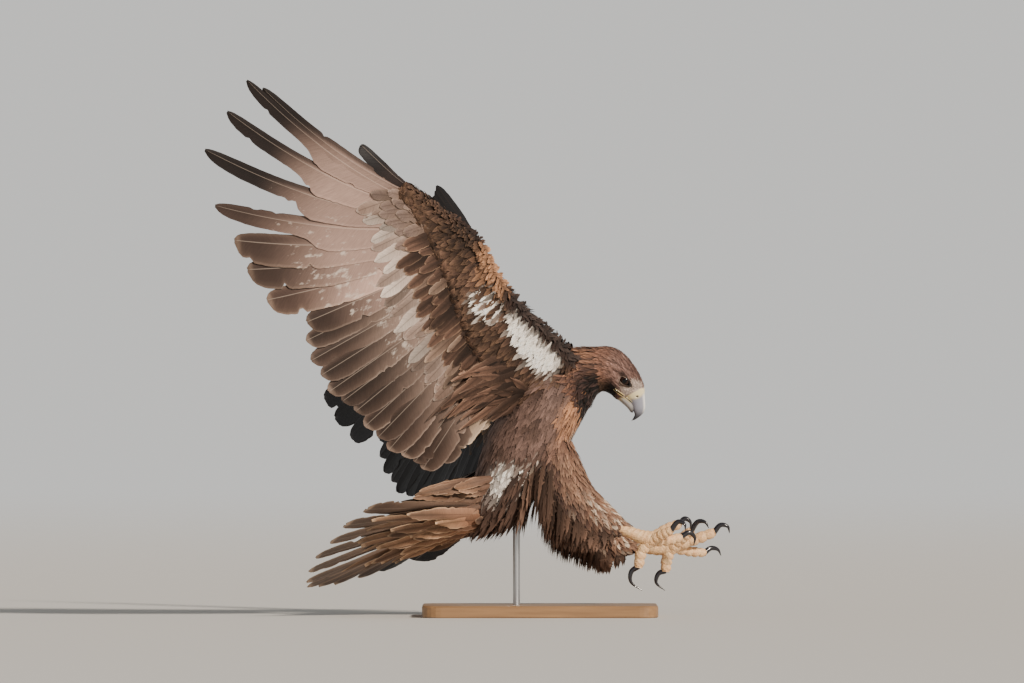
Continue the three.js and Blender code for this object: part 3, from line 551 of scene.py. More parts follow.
class Skin:
    """The bird's skin as a surface that feathers can be laid on."""

    def __init__(self, mesh):
        self.mesh = mesh
        self.marks = []
        normals = np.empty(len(mesh.vertices) * 3)
        mesh.vertices.foreach_get("normal", normals)
        faces = [tuple(p.vertices) for p in mesh.polygons]
        self.tree = BVHTree.FromPolygons((vertex_places(mesh) * MM).tolist(), faces)
        normals = normals.reshape(-1, 3)
        self.normals = np.array([normals[list(f)].mean(axis=0) for f in faces])

    def nearest(self, points):
        """Nearest places on the skin and the skin's directions there, in millimetres."""
        places, indices = [], []
        for point in points * MM:
            place, _, index, _ = self.tree.find_nearest(point)
            places.append(place)
            indices.append(index)
        return np.array(places) / MM, unit(self.normals[indices])

    def paint(self):
        """Gives the skin the colours of the feathers that grow on it."""
        roots = np.vstack([roots for roots, _ in self.marks])
        colours = np.vstack([colours for _, colours in self.marks])
        tints = colours[nearest_index(roots, vertex_places(self.mesh))]
        tints = np.hstack([tints, np.ones((len(tints), 1))])
        self.mesh.attributes["tint"].data.foreach_set("color", tints.ravel())


# The skin, once its operator has made it, for the operators that lay feathers on it.
SKIN = {}


def body_skin():
    """The skin that feathers are laid on."""
    if "body" not in SKIN:
        raise RuntimeError("Make the skin first, because this piece lies on it.")
    return SKIN["body"]


def vertex_places(mesh):
    """A mesh's points in millimetres."""
    points = np.empty(len(mesh.vertices) * 3)
    mesh.vertices.foreach_get("co", points)
    return points.reshape(-1, 3) / MM


def nearest_index(places, points):
    """For each point, the number of the nearest place."""
    tree = KDTree(len(places))
    for number, place in enumerate(places):
        tree.insert(place, number)
    tree.balance()
    return np.array([tree.find(point)[1] for point in points])


# Feathers.

def lay_shafts(roots, ways, lengths, places, heights, cling, fall):
    """Walks each feather's shaft back over the skin, rising off it and bending as it falls."""
    skin = body_skin()
    spot, way = roots.copy(), ways.copy()
    shafts, outs, runs = [], [], []
    for row, place in enumerate(places):
        if row:
            spot = spot + way * (lengths * (place - places[row - 1]))[:, None]
        foot, normal = skin.nearest(spot)
        hold = cling[row]
        foot = foot * hold + spot * (1 - hold)
        flat = unit(way - normal * np.sum(way * normal, -1, keepdims=True))
        way = unit(flat * hold + way * (1 - hold) + fall * row / len(places))
        out = unit(normal - way * np.sum(way * normal, -1, keepdims=True))
        if row:
            out = unit(out * 0.6 + outs[-1] * 0.4)
        shafts.append(foot + out * heights[:, row][:, None])
        outs.append(out)
        runs.append(way)
        spot = foot
    return np.stack(shafts, 1), np.stack(outs, 1), np.stack(runs, 1)


def barbed_leaf(places, teeth, core):
    """One feather's points, root to tip and across, with its triangles and which are tips.

    The middle is closed, and each clump of barbs along its edges and end is a tooth.
    """
    rows = len(places) - 1
    along, across = list(np.repeat(places[:rows], 3)), [-core, 0, core] * rows
    faces = []
    for first in (3 * r + c for r in range(rows - 1) for c in range(2)):
        faces += [[first, first + 1, first + 4], [first, first + 4, first + 3]]
    marks = np.linspace(0.08, places[rows - 1], teeth + 1)
    for side in (-1, 1):
        for low, high in zip(marks[:-1], marks[1:]):
            n = len(along)
            along += [low, high, high + 0.1]
            across += [side * core, side * core, side]
            faces.append([n, n + 1, n + 2] if side > 0 else [n, n + 2, n + 1])
    for k in range(4):
        n = len(along)
        ends = core * (k / 2 - 1), core * (k / 2 - 0.5)
        along += [places[rows - 1], places[rows - 1], 1.0]
        across += [*ends, sum(ends) * 0.9]
        faces.append([n, n + 1, n + 2])
    tips = np.zeros(len(along), bool)
    tips[3 * rows + 2::3] = True
    return np.array(along), np.array(across), np.array(faces), tips


def body_feathers(name, found, style, tones, material, slot, seed, choose=slice(None)):
    """Makes the chosen small feathers as one mesh, and marks the skin with their colours.

    tones are the colours of each feather's middle and of its rim. style gives its length,
    width, leaf outline and lift, and what differs from LEAF.
    """
    style, rng = LEAF | style, np.random.default_rng(seed)
    roots, ways, uvs = (found[key][choose] for key in ("roots", "ways", "uvs"))
    centre, rim = (tone[choose] for tone in tones)
    body_skin().marks.append((roots, centre))
    count, rows = len(roots), style["rows"]
    places = np.linspace(0, 1, rows) ** 0.85
    lengths = np.broadcast_to(style["length"], len(found["roots"]))[choose]
    lengths = lengths * rng.uniform(0.82, 1.18, count)
    widths = style["width"] * rng.uniform(0.85, 1.15, count) / 2
    yaw = rng.normal(0, style["yaw"], count)
    foot, normal = body_skin().nearest(roots)
    ways = unit(ways - normal * np.sum(ways * normal, -1, keepdims=True))
    sideways = np.cross(normal, ways)
    ways = unit(ways * np.cos(yaw)[:, None] + sideways * np.sin(yaw)[:, None])
    lift = style["lift"] * rng.uniform(0.85, 1.15, count)
    heights = lift[:, None] * places[None] ** LEAF_RISE - style["sink"]
    cling = np.interp(places, [0, 1], style["cling"])
    shafts, outs, runs = lay_shafts(foot, ways, lengths, places, heights, cling,
                                    np.array(style["fall"]))
    edges = np.cross(runs, outs) * (widths[:, None] * table(style["leaf"], places))[..., None]
    along, across, faces, tips = barbed_leaf(places, style["teeth"], style["core"])
    fray = style["fray"]
    a = along + np.where(tips, rng.normal(0, 0.03 + 0.06 * fray, (count, len(along))), 0)
    x = across * np.where(tips, 1 + fray * rng.normal(0, 0.7, (count, len(along))), 1)
    a = np.clip(a, 0, 1)
    row = np.clip(np.searchsorted(places, a) - 1, 0, rows - 2)
    share = ((a - places[row]) / (places[row + 1] - places[row]))[..., None]
    each = np.arange(count)[:, None]

    def read(values):
        return values[each, row] * (1 - share) + values[each, row + 1] * share

    sag = -LEAF_CUP * widths[:, None] * x ** 2
    points = read(shafts) + read(edges) * x[..., None] + read(outs) * sag[..., None]
    points -= read(runs) * (0.06 * lengths[:, None] * x ** 2)[..., None]
    edge = np.maximum(ramp(a, 0.6, 1.0), ramp(np.abs(x), 0.5, 1.0) * 0.8)
    glow = np.clip(rng.normal(1, style["vary"], count), 0.5, 1.6)[:, None, None]
    tints = mix(centre[:, None], rim[:, None], edge) * glow
    # Each feather darkens towards its root: painted shade where the feathers above lie over it.
    root = style["root"]
    tints = tints * (root + (1.12 - root) * ramp(a, 0.15, 0.95))[..., None]
    offset = x * widths[:, None]
    barbs = np.stack([1.7 * offset + 0.1 * a * lengths[:, None], a * lengths[:, None],
                      np.broadcast_to(rng.random(count)[:, None] * 97, a.shape)], -1)
    marks = np.stack([a, x, np.zeros_like(a)], -1)
    patch = uvs[:, None] + 0.003 * np.stack([(x - 0.5) / 2, a - 0.5], -1)
    faces = (faces[None] + (np.arange(count) * len(along))[:, None, None]).reshape(-1, 3)
    return mesh_piece(name, points, faces, material, slot, np.clip(tints, 0, 1), barbs, marks,
                      np.clip(patch, 0.001, 0.999))


def scatter_outline(part, stations, y, spacing, shares, turns, lie, flow, seed, bend=1.0):
    """Staggered roots over an oval body, with the way each feather runs and its place in 0-1."""
    rng = np.random.default_rng(seed)
    fine = np.linspace(shares[0], shares[1], 200)
    centre = (outline_point(stations, fine, np.zeros(200), y)
              + outline_point(stations, fine, np.full(200, math.pi), y)) / 2
    length = np.concatenate([[0], np.cumsum(np.linalg.norm(np.diff(centre, axis=0), axis=1))])
    rows = max(int(length[-1] / spacing[0]), 1)
    shares_out, turns_out = [], []
    for row in range(rows):
        share = np.interp((row + 0.5) / rows * length[-1], length, fine)
        ring = outline_point(stations, np.full(64, share), np.linspace(0, 2 * math.pi, 64), y)
        girth = np.linalg.norm(np.diff(ring, axis=0), axis=1).sum()
        span = math.radians(turns[1] - turns[0])
        number = max(int(girth * span / (2 * math.pi) / spacing[1]), 1)
        step = (np.arange(number) + 0.5 * (row % 2) + 0.25) / number
        angle = math.radians(turns[0]) + span * step
        angle += rng.normal(0, 0.18 / number * span, number)
        shares_out.append(share + rng.normal(0, 0.12, number) * (shares[1] - shares[0]) / rows)
        turns_out.append(angle)
    share, turn = np.concatenate(shares_out), np.concatenate(turns_out)
    roots = outline_point(stations, share, turn, y)
    ahead = outline_point(stations, np.clip(share + 0.01, 0, 1), turn, y)
    behind = outline_point(stations, np.clip(share - 0.01, 0, 1), turn, y)
    run = unit(ahead - behind) * flow
    rear = (1 - np.cos(turn))[:, None] / 2 * bend
    ways = unit(run * (1 - rear) + np.array(lie, float) * rear)
    uvs = unwrap(PARTS.index(part), share, (turn / (2 * math.pi)) % 1)
    return keep_outside({"roots": roots, "ways": ways, "uvs": uvs, "share": share, "turn": turn})


def keep_outside(found, depth=16):
    """Drops roots that lie inside another part of the body."""
    foot, normal = body_skin().nearest(found["roots"])
    away = np.sum((found["roots"] - foot) * normal, -1)
    keep = (away > 0) & (np.linalg.norm(found["roots"] - foot, axis=-1) < depth)
    return {key: value[keep] for key, value in found.items()}


def on_wing(wing, root, tip, finger=0.0):
    """Length of a feather on a wing, and the function that places points on it.

    That takes the share of the length, millimetres from the shaft, and height.
    """
    root, tip = np.asarray(root, float), np.asarray(tip, float)
    run = tip - root
    length = math.hypot(*run)
    run /= length

    def place(along, offset, height):
        sweep = offset + finger * FINGER_BOW * length * (1 - 4 * (along - 0.5) ** 2)
        u = root[0] + run[0] * length * along - run[1] * sweep
        v = root[1] + run[1] * length * along + run[0] * sweep
        curl = finger * FINGER_CURL * np.maximum(0, along - 0.5) ** 2
        return wing_point(wing, u, v, height + curl)

    return length, place


def on_frame(root, run, across, up, length):
    """The same for a straight feather, with the directions along, across and up from it."""
    def place(along, offset, height):
        return (root + run * (length * along)[..., None] + across * offset[..., None]
                + up * height[..., None])

    return length, place


def on_tail(angle, start, length, lift):
    """The same for a feather of the tail. Its heights are towards the underside."""
    run, across, normal = tail_frame(angle)
    return on_frame(TAIL_ROOT + run * start + normal * lift, run, across, -normal, length)


def on_line(root, tip, out):
    """The same for a feather between two points, whose heights are along out."""
    length = np.linalg.norm(tip - root)
    run = (tip - root) / length
    across = unit(np.cross(out, run))
    return on_frame(root, run, across, np.cross(run, across), length)


def paint(vane, along, across, side):
    """Colours of one face of a vane: base and tip, outer web, dark middle and pale margin."""
    face = vane["under" if side > 0 else "upper"]
    tints = mix(face["base"], face["tip"], ramp(along, *vane["fade"]))
    tints = mix(tints, face["tip"], ramp(-across, 0.1, 0.5) * face["outer"])
    middle = (1 - ramp(np.abs(across), 0.15, 0.7)) * ramp(along, 0.3, 0.7)
    tints = tints * (1 - face["middle"] * middle)[..., None]
    edge = np.maximum(ramp(np.abs(across), 0.8, 0.98), ramp(along, 0.96, 0.99))
    return mix(tints, face["margin"], edge * ramp(along, 0.25, 0.6) * face["rim"])


COLUMNS = {
    "fine": np.array([-1, -0.86, -0.6, -0.3, -0.1, -0.035, 0.035, 0.1, 0.3, 0.6, 0.86, 1]),
    "coarse": np.array([-1, -0.8, -0.45, -0.1, 0.1, 0.45, 0.8, 1]),
}


def vane_piece(name, vanes, material, slot, rows, seed, columns="fine", thick=0.35):
    """Large feathers as one mesh. With a thickness each is closed, without it one sheet.

    Each vane is a dict with its length and place function, lead and trail, the reach of the
    vane on either side of its shaft, outline, low and high, its heights at both ends, its
    colours, under and upper, and what differs from VANE.
    """
    columns, places = COLUMNS[columns], np.linspace(0, 1, rows)
    along = np.broadcast_to(places[:, None], (rows, len(columns)))
    across = np.broadcast_to(columns, along.shape)
    found = {"points": [], "tints": [], "barbs": [], "marks": [], "uvs": []}
    for index, vane in enumerate(vanes):
        vane = VANE | vane
        rng = np.random.default_rng(1000 * seed + index)
        length, place = vane["spot"]
        wear = 1 - vane["fray"] * rng.random((rows, 2)) * (places > 0.2)[:, None]
        for _ in range(vane["splits"]):
            gap = np.exp(-((places - rng.uniform(0.3, 0.95)) / 0.012) ** 2)
            wear[:, int(rng.random() < 0.7)] -= rng.uniform(0.1, 0.4) * gap
        reach = np.where(columns < 0,
                         vane["lead"] * (table(vane["outline"], places, 1) * wear[:, 0])[:, None],
                         vane["trail"] * (table(vane["outline"], places, 2) * wear[:, 1])[:, None])
        offset = reach * columns
        wave = vane["wave"] * np.sin(along * 8 + 6 * rng.random())
        middle = (vane["low"] + (vane["high"] - vane["low"]) * along + vane["tilt"] * offset
                  + wave * np.abs(across) * ramp(along, 0.2, 0.8) - vane["cup"] * across ** 2)
        shaft = vane["quill"] * np.exp(-(columns / 0.06) ** 2) * (1 - 0.8 * along)
        half = thick * (1 - 0.5 * along) * (1 - 0.4 * np.abs(across)) + shaft
        glow = 1 + vane["vary"] * rng.normal()
        for side in (1, -1) if thick else (vane["face"],):
            found["points"].append(place(along, offset, middle + side * half))
            found["tints"].append(np.clip(paint(vane, along, across, side) * glow, 0, 1))
            found["barbs"].append(np.stack([along * length - np.abs(offset) * 0.8, offset,
                                            np.full(offset.shape, index * 7.3 + side)], -1))
            flecks = vane["mottle"] * (side > 0) * ramp(along, 0.15, 0.35) * (
                1 - ramp(along, *vane["flecked"])) * (0.45 + 0.55 * ramp(across, -0.3, 0.1))
            found["marks"].append(np.stack([along, across + 2 * (side < 0), flecks], -1))
            strip = (2 * index + (side < 0) + 0.5 + 0.4 * across) / (2 * len(vanes))
            found["uvs"].append(np.stack([strip, 0.01 + 0.98 * along], -1))
    cols, size = len(columns), rows * len(columns)
    faces = [grid_faces(len(found["points"]), rows, cols)]
    if thick:
        ring = np.concatenate([np.arange(cols), np.arange(1, rows) * cols + cols - 1,
                               (rows - 1) * cols + np.arange(cols - 2, -1, -1),
                               np.arange(rows - 2, 0, -1) * cols])
        after = np.roll(ring, -1)
        for first in 2 * size * np.arange(len(vanes)):
            faces.append(np.stack([ring + first, after + first, after + first + size,
                                   ring + first + size], 1))
    return mesh_piece(name, faces=np.vstack(faces), material=material, slot=slot, **found)


# Settings.

def tone_setting(name, description, code):
    """A colour that a user can change."""
    return bpy.props.FloatVectorProperty(
        name=name, description=description, default=tuple(rgb(code)), subtype="COLOR",
        min=0.0, max=1.0)


def length_setting(name, description, default, least, most):
    """A length that a user can change, in metres."""
    return bpy.props.FloatProperty(
        name=name, description=description, default=default, min=least, max=most,
        unit="LENGTH")


class StandSettings(bpy.types.PropertyGroup):
    """Finishes of the display stand."""

    oak_light: tone_setting("Light oak", "Wood between the pores", "#a98259")
    oak_dark: tone_setting("Dark oak", "Wood in the grain", "#6b4f35")
    steel: tone_setting("Steel", "The rod", "#b8babc")


class PlumageSettings(bpy.types.PropertyGroup):
    """Lengths and colours of the coat."""

    body_length: length_setting("Body feathers", "Length of a feather of breast or back",
                                0.05, 0.02, 0.08)
    hackle_length: length_setting("Hackles", "Length of a pointed feather of the nape",
                                  0.03, 0.01, 0.05)
    down_length: length_setting("White down", "Length of the down in the armpit and at the vent",
                                0.025, 0.01, 0.05)
    brown: tone_setting("Dark brown", "Belly and the dark streaks of the body", "#3a2a24")
    plum: tone_setting("Plum brown", "Light streaks of the body", "#775f57")
    rufous: tone_setting("Rufous", "Warm front of the breast and undertail coverts", "#93674f")
    gold: tone_setting("Gold", "Rims of the hackles", "#a57d62")
    tan: tone_setting("Tan", "Rims of the body feathers", "#b49478")
    white: tone_setting("White", "Armpit and vent", "#f4ede4")


class BareSettings(bpy.types.PropertyGroup):
    """Size and colours of eyes, bill and feet."""

    eye_radius: length_setting("Eyeball", "Radius of an eyeball", 0.0095, 0.005, 0.015)
    iris: tone_setting("Iris", "Ring round the pupil", "#2b180f")
    horn: tone_setting("Horn", "Sides of the bill", "#8f909c")
    cere: tone_setting("Cere", "Bare skin over the bill", "#e3d2a2")
    toes: tone_setting("Toes", "Light skin of the toes", "#ffdfae")
    claws: tone_setting("Claws", "Horn of the claws", "#1c1a20")


class StageSettings(bpy.types.PropertyGroup):
    """Light, floor and camera."""

    distance: length_setting("Camera distance", "From the camera to the bird's mirror plane",
                             24.18, 1, 100)
    lens: bpy.props.FloatProperty(
        name="Focal length", description="Focal length on a 36 mm wide sensor", default=500,
        min=10, unit="CAMERA")
    sun: bpy.props.FloatProperty(
        name="Key light", description="Strength of the key light", default=4.9, min=0)
    paper: tone_setting("Floor", "Paper of the floor", "#d4d2ce")


SETTINGS = {"eagle_stand": StandSettings, "eagle_plumage": PlumageSettings,
            "eagle_bare": BareSettings, "eagle_stage": StageSettings}


def plumage(name):
    """A colour of the coat, or a length of it in millimetres."""
    value = getattr(bpy.context.scene.eagle_plumage, name)
    return value / MM if isinstance(value, float) else np.array(value)


# Operators.

class EAGLE_OT_skin(bpy.types.Operator):
    """Makes one skin under all the feathers, from the crown to the tail root"""

    bl_idname = "eagle.skin"
    bl_label = "Skin"

    def execute(self, context):
        share, angle = ring_grid(0, 1, 40, 48)
        grids = [outline_point(stations, share, angle, y, first + (last - first) * share)
                 for stations, y, first, last in (
                     (TORSO, 0, 9, 8), (NECK, 0, 8, 4), (HEAD, 0, 4, 0),
                     (THIGHS["right"], THIGH_Y["right"], 8, 2),
                     (THIGHS["left"], THIGH_Y["left"], 8, 2))]
        grids.append(tail_core_point(share, angle, 0.8))
        u, place = np.meshgrid(np.linspace(WING_START, WING_END - 2, 60),
                               np.linspace(0, 1, 48, endpoint=False), indexing="ij")
        grids += [wing_core_point(wing, u, place, 0.78) for wing in WINGS.values()]
        body = joined([(grid.reshape(-1, 3), tube_faces(*grid.shape[:2])) for grid in grids]
                      + [tube(BROW * [1, side, 1], [1, 3, 3.4, 3, 1.5], 16, 24)
                         for side in (-1, 1)])
        mesh = bpy.data.meshes.new("skin")
        mesh.from_pydata((body[0] * MM).tolist(), [], body[1].tolist())
        skin = bpy.data.objects.new("skin", mesh)
        context.collection.objects.link(skin)
        remesh = skin.modifiers.new("remesh", "REMESH")
        remesh.mode, remesh.voxel_size = "VOXEL", SKIN_VOXEL * MM
        smooth = skin.modifiers.new("smooth", "SMOOTH")
        smooth.factor, smooth.iterations = 0.5, 6
        evaluated = skin.evaluated_get(context.evaluated_depsgraph_get())
        final = bpy.data.meshes.new_from_object(evaluated)
        skin.modifiers.clear()
        skin.data = final
        final.polygons.foreach_set("use_smooth", np.ones(len(final.polygons), bool))
        SKIN["body"] = Skin(final)
        final.uv_layers.new(name="OFBake").data.foreach_set(
            "uv", self.unwrapped(final, grids).ravel())
        final.attributes.new("tint", "FLOAT_COLOR", "POINT")
        # Down, fluffed up in tufts 5.6 mm wide: matt, and darker between the tufts.
        material, tree = new_material("soft_down_over_skin")
        tint = add_node(tree, "ShaderNodeAttribute", attribute_name="tint")
        cloud = add_node(tree, "ShaderNodeTexNoise", {"Scale": cells(DOWN_TUFT), "Detail": 3.0})
        shade = add_node(tree, "ShaderNodeMapRange", {"Value": cloud, "To Min": 0.6, "To Max": 1.1})
        down = add_node(tree, "ShaderNodeVectorMath", {0: tint, "Scale": shade}, operation="SCALE")
        finish_surface(tree, {"Base Color": down, "Roughness": 0.9})
        final.materials.append(material)
        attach(skin, "root")
        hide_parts("torso", "neck", "head", "thigh_right", "thigh_left")
        return {"FINISHED"}

    def unwrapped(self, mesh, grids):
        """Each face corner's place on the unwrapped skin, from the nearest point of a part."""
        places, owners, spots, ways = [], [], [], []
        for part, grid in enumerate(grids):
            rows, cols = grid.shape[:2]
            spot = np.stack(np.meshgrid(np.linspace(0, 1, rows), np.arange(cols) / cols,
                                        indexing="ij"), -1)
            along = np.gradient(grid, axis=0) * (rows - 1)
            across = (np.roll(grid, -1, 1) - np.roll(grid, 1, 1)) * cols / 2
            places.append(grid.reshape(-1, 3))
            owners.append(np.full(rows * cols, part))
            spots.append(spot.reshape(-1, 2))
            ways.append(np.stack([along, across], -2).reshape(-1, 2, 3))
        places, owners = np.vstack(places), np.concatenate(owners)
        spots, ways = np.vstack(spots), np.vstack(ways)
        points = vertex_places(mesh)
        index = nearest_index(places, points)
        away = points - places[index]
        step = np.einsum("nkc,nc->nk", ways[index], away) / np.maximum(
            np.sum(ways[index] ** 2, -1), 1e-6)
        spot = spots[index] + np.clip(step, -0.03, 0.03)
        corner = np.empty(len(mesh.loops), int)
        mesh.loops.foreach_get("vertex_index", corner)
        starts, sides = np.empty(len(mesh.polygons), int), np.empty(len(mesh.polygons), int)
        mesh.polygons.foreach_get("loop_start", starts)
        mesh.polygons.foreach_get("loop_total", sides)
        face = np.repeat(np.arange(len(starts)), sides)
        first = corner[starts][face]
        local, base = spot[corner], spot[first]
        local[:, 1] -= np.round(local[:, 1] - base[:, 1])
        turn = (np.arange(len(corner)) - starts[face]) * math.pi / 2
        small = base + 0.001 * np.stack([np.cos(turn), np.sin(turn)], -1)
        apart = (owners[index][corner] != owners[index][first])[:, None]
        local = np.where(apart, small, local)
        return unwrap(owners[index][first], local[:, 0], local[:, 1])


INK = rgb("#2b1e19")


def look(base, tip, outer=0.0, middle=0.0, margin=None, rim=0.0):
    """Colours of one face of a large feather."""
    return {"base": rgb(base), "tip": rgb(tip), "outer": outer, "middle": middle,
            "margin": rgb(margin or tip), "rim": rim}


# The upper faces of the remiges are near-black, darker than their real dark brown: painted shade,
# as the far wing lies in the near wing's shadow.
REMEX_TOP_SHADED = look("#1a181c", "#111015", 0.3, 0.2, "#29252a", 0.4)
COVERT_TOP = look("#3b2d27", "#4a392f", 0, 0.3, "#9a7757", 0.55)


class EAGLE_OT_flight_feathers(bpy.types.Operator):
    """Lays the primaries, secondaries, coverts and alula of both wings"""

    bl_idname = "eagle.flight_feathers"
    bl_label = "Wing feathers"

    def execute(self, context):
        vane = feather_material("keratin_flight_vane", 0.52, 0.03, 0.16,
                                ("#b3a396", 0.38, 0.04), 0.6)
        covert = feather_material("soft_covert_vane", 0.62, 0.04, 0.22, ("#2b201b", 0.4, 0.09),
                                  0.35)
        for name, wing in WINGS.items():
            piece = vane_piece(f"flight_feathers_{name}", self.remiges(wing), vane,
                               "wing_feathers", 60, 1)
            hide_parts(f"wing_{name}")
            vane_piece(f"wing_coverts_{name}", self.coverts(wing), covert, "wing_feathers", 18,
                       2, "coarse", 0)
        return {"FINISHED"}

    def remiges(self, wing):
        """Primaries, secondaries and tertials, from the wing tip inwards."""
        vanes = []
        for i, (u0, v0, u1, v1, lead, trail) in enumerate(PRIMARIES):
            fingered = 0 < i < 6
            # The outer web of each primary is darker below: partly its own darker web, partly
            # painted shadow of the feather that overlaps it.
            under = look("#9a8075", "#1d1614" if i < 5 else "#3b2d27", 0.75 if i < 5 else 0.6,
                         0.2, "#8d7767", 0.0 if i < 6 else 0.35)
            if i == 0:
                under = look("#2c2322", "#1a1719")
            if wing["side"] > 0 and i in (4, 5):
                u1, v1 = u0 + 0.9 * (u1 - u0), v0 + 0.9 * (v1 - v0)
            vanes.append({
                "spot": on_wing(wing, (u0, v0), (u1, v1), min(max(1 - (i - 4) / 5, 0), 1)),
                "lead": lead, "trail": trail,
                "outline": FINGER if fingered else BLADE, "under": under, "upper": REMEX_TOP_SHADED,
                "fade": (0.4, 0.78) if i < 5 else (0.42, 0.9), "fray": 0.03, "vary": 0.14,
                "mottle": (0, 0, 0, 0.28, 0.37, 0.41, 0.44, 0.46, 0.46, 0.46)[i]})
        for i in range(SECONDARIES):
            share = i / (SECONDARIES - 1)
            inner = share > 0.86
            tip = smooth_line(SECONDARY_TIPS, share) + [0, (-5, 3, 0, 4, -2)[i % 5]]
            vanes.append({
                "spot": on_wing(wing, smooth_line(SECONDARY_ROOTS, share), tip),
                "lead": 14, "trail": 26, "outline": BLADE,
                "under": look("#85705f", "#a58f7b", 0, 0.45, "#cdb69e", 0.7) if inner else
                look("#8c776c", "#463730", 0.4, 0.5, "#a38c7d", (0.5, 0.15, 0.3)[i % 3]),
                "upper": REMEX_TOP_SHADED, "fade": (0.3, 0.85), "fray": 0.05, "cup": 1.2, "wave": 1.8,
                "vary": 0.22, "mottle": 0.48 if i < 5 else 0.4, "flecked": (0.5, 0.75)})
        return vanes

    def coverts(self, wing):
        """Greater and median coverts of both faces, the alula and the long axillaries."""
        vanes = []
        lean = np.array([[0, -6], [120, 4], [230, 18], [300, 30], [386, 44]], float)
        tiers = (
            (30, 36, 378, 0.8, (3.2, 2.6), (11, 13), [[20, 172], [80, 180], [135, 184],
             [225, 156], [298, 110], [335, 86], [397, 38]]),
            (36, 30, 372, 0.66, (6, 4.2), (9, 10), [[20, 150], [123, 158], [196, 128], [254, 84],
             [318, 48], [380, 10]]),
            (40, 26, 366, 0.52, (9, 6.4), (8.5, 9.5), [[20, 122], [123, 128], [196, 98],
             [254, 58], [318, 26], [376, -8]]),
        )
        for tier, (count, start, end, back, heights, reach, tips) in enumerate(tiers):
            tips = np.array(tips, float)
            for i in range(count):
                rng = np.random.default_rng(50 * tier + i)
                u = start + (end - start) * i / (count - 1)
                edge, quills = table(LEADING_EDGE, u), table(QUILL_LINE, u)
                tip_u = u + table(lean, u) + rng.normal(0, 5)
                tip_v = table(tips, tip_u) + rng.normal(0, 8)
                room = min(1, table(WING_HALF, u) / 12)
                pale = float(ramp(u, 60, 160) * (1 - ramp(u, 330, 380) * 0.4))
                # In tiers 1 and 2 most feathers are painted much darker at the base than at the
                # tip: partly their own colour, partly painted shade where the tier above overlaps
                # them.
                if tier == 0:
                    bright = rng.random() < 0.25
                    under = look("#a38f83", "#c4b5aa" if bright else "#8f7a6f", 0, 0.15,
                                 "#c6b7ac", 0.4)
                    under["base"] = mix("#6d5548", under["base"], pale)
                    under["tip"] = mix("#7a6052", under["tip"], pale)
                elif u > 300:
                    under = look("#7d685c", "#88736a", 0, 0.2, "#a8937f", 0.4)
                elif rng.random() < 0.25:
                    under = look("#4f3c32", "#8d7566", 0, 0.3, "#b8a08a", 0.6)
                else:
                    under = look("#2b1f19", "#5f473b", 0, 0.4, "#9c7f68", 0.6)
                for face in (1, -1):
                    vanes.append({
                        "spot": on_wing(wing, (u, edge + (quills - edge) * back),
                                        (tip_u, tip_v)), "face": face,
                        "lead": reach[0], "trail": reach[1],
                        "low": face * heights[0] * room, "high": face * heights[1],
                        "cup": face * 1.2, "outline": OVAL, "under": under, "quill": 0,
                        "upper": COVERT_TOP, "fade": (0.35, 1.0), "fray": 0.12, "vary": 0.28,
                        "tilt": rng.normal(0.06, 0.04), "mottle": 0.42 if tier == 0 else 0})
        # The alula is painted near-black below: its dark brown deepened as painted shade.
        for i in range(4):
            vanes.append({
                "spot": on_wing(wing, (236 + 2 * i, -58 + 4 * i), (337 - 3 * i, -86 + 9 * i)),
                "lead": 9, "trail": 12, "low": -4 - i, "high": -12 + i, "outline": OVAL,
                "under": look("#151315", "#0d0c0f"), "upper": REMEX_TOP_SHADED, "fray": 0.04})
        for i in range(AXILLARIES):
            rng = np.random.default_rng(700 + i)
            layer, share = i // 12, (i % 12) / 11
            root = (78 - 84 * share, 30 + 26 * share + 10 * layer)
            tip = (108 - 84 * share + 10 * layer + rng.normal(0, 8),
                   228 - 60 * share - 32 * layer + rng.normal(0, 12))
            vanes.append({
                "spot": on_wing(wing, root, tip), "lead": 8.5, "trail": 9.5, "low": 15,
                "high": 10.5 + 2 * layer + rng.normal(0, 1.2), "outline": LANCE, "cup": 2,
                "under": look("#33251e", "#62493c", 0, 0.45, "#967b66", 0.4), "vary": 0.34,
                "upper": COVERT_TOP, "fade": (0.3, 0.8), "wave": rng.uniform(1, 3.5),
                "fray": 0.22, "tilt": rng.normal(0.05, 0.08), "splits": 4})
        return vanes


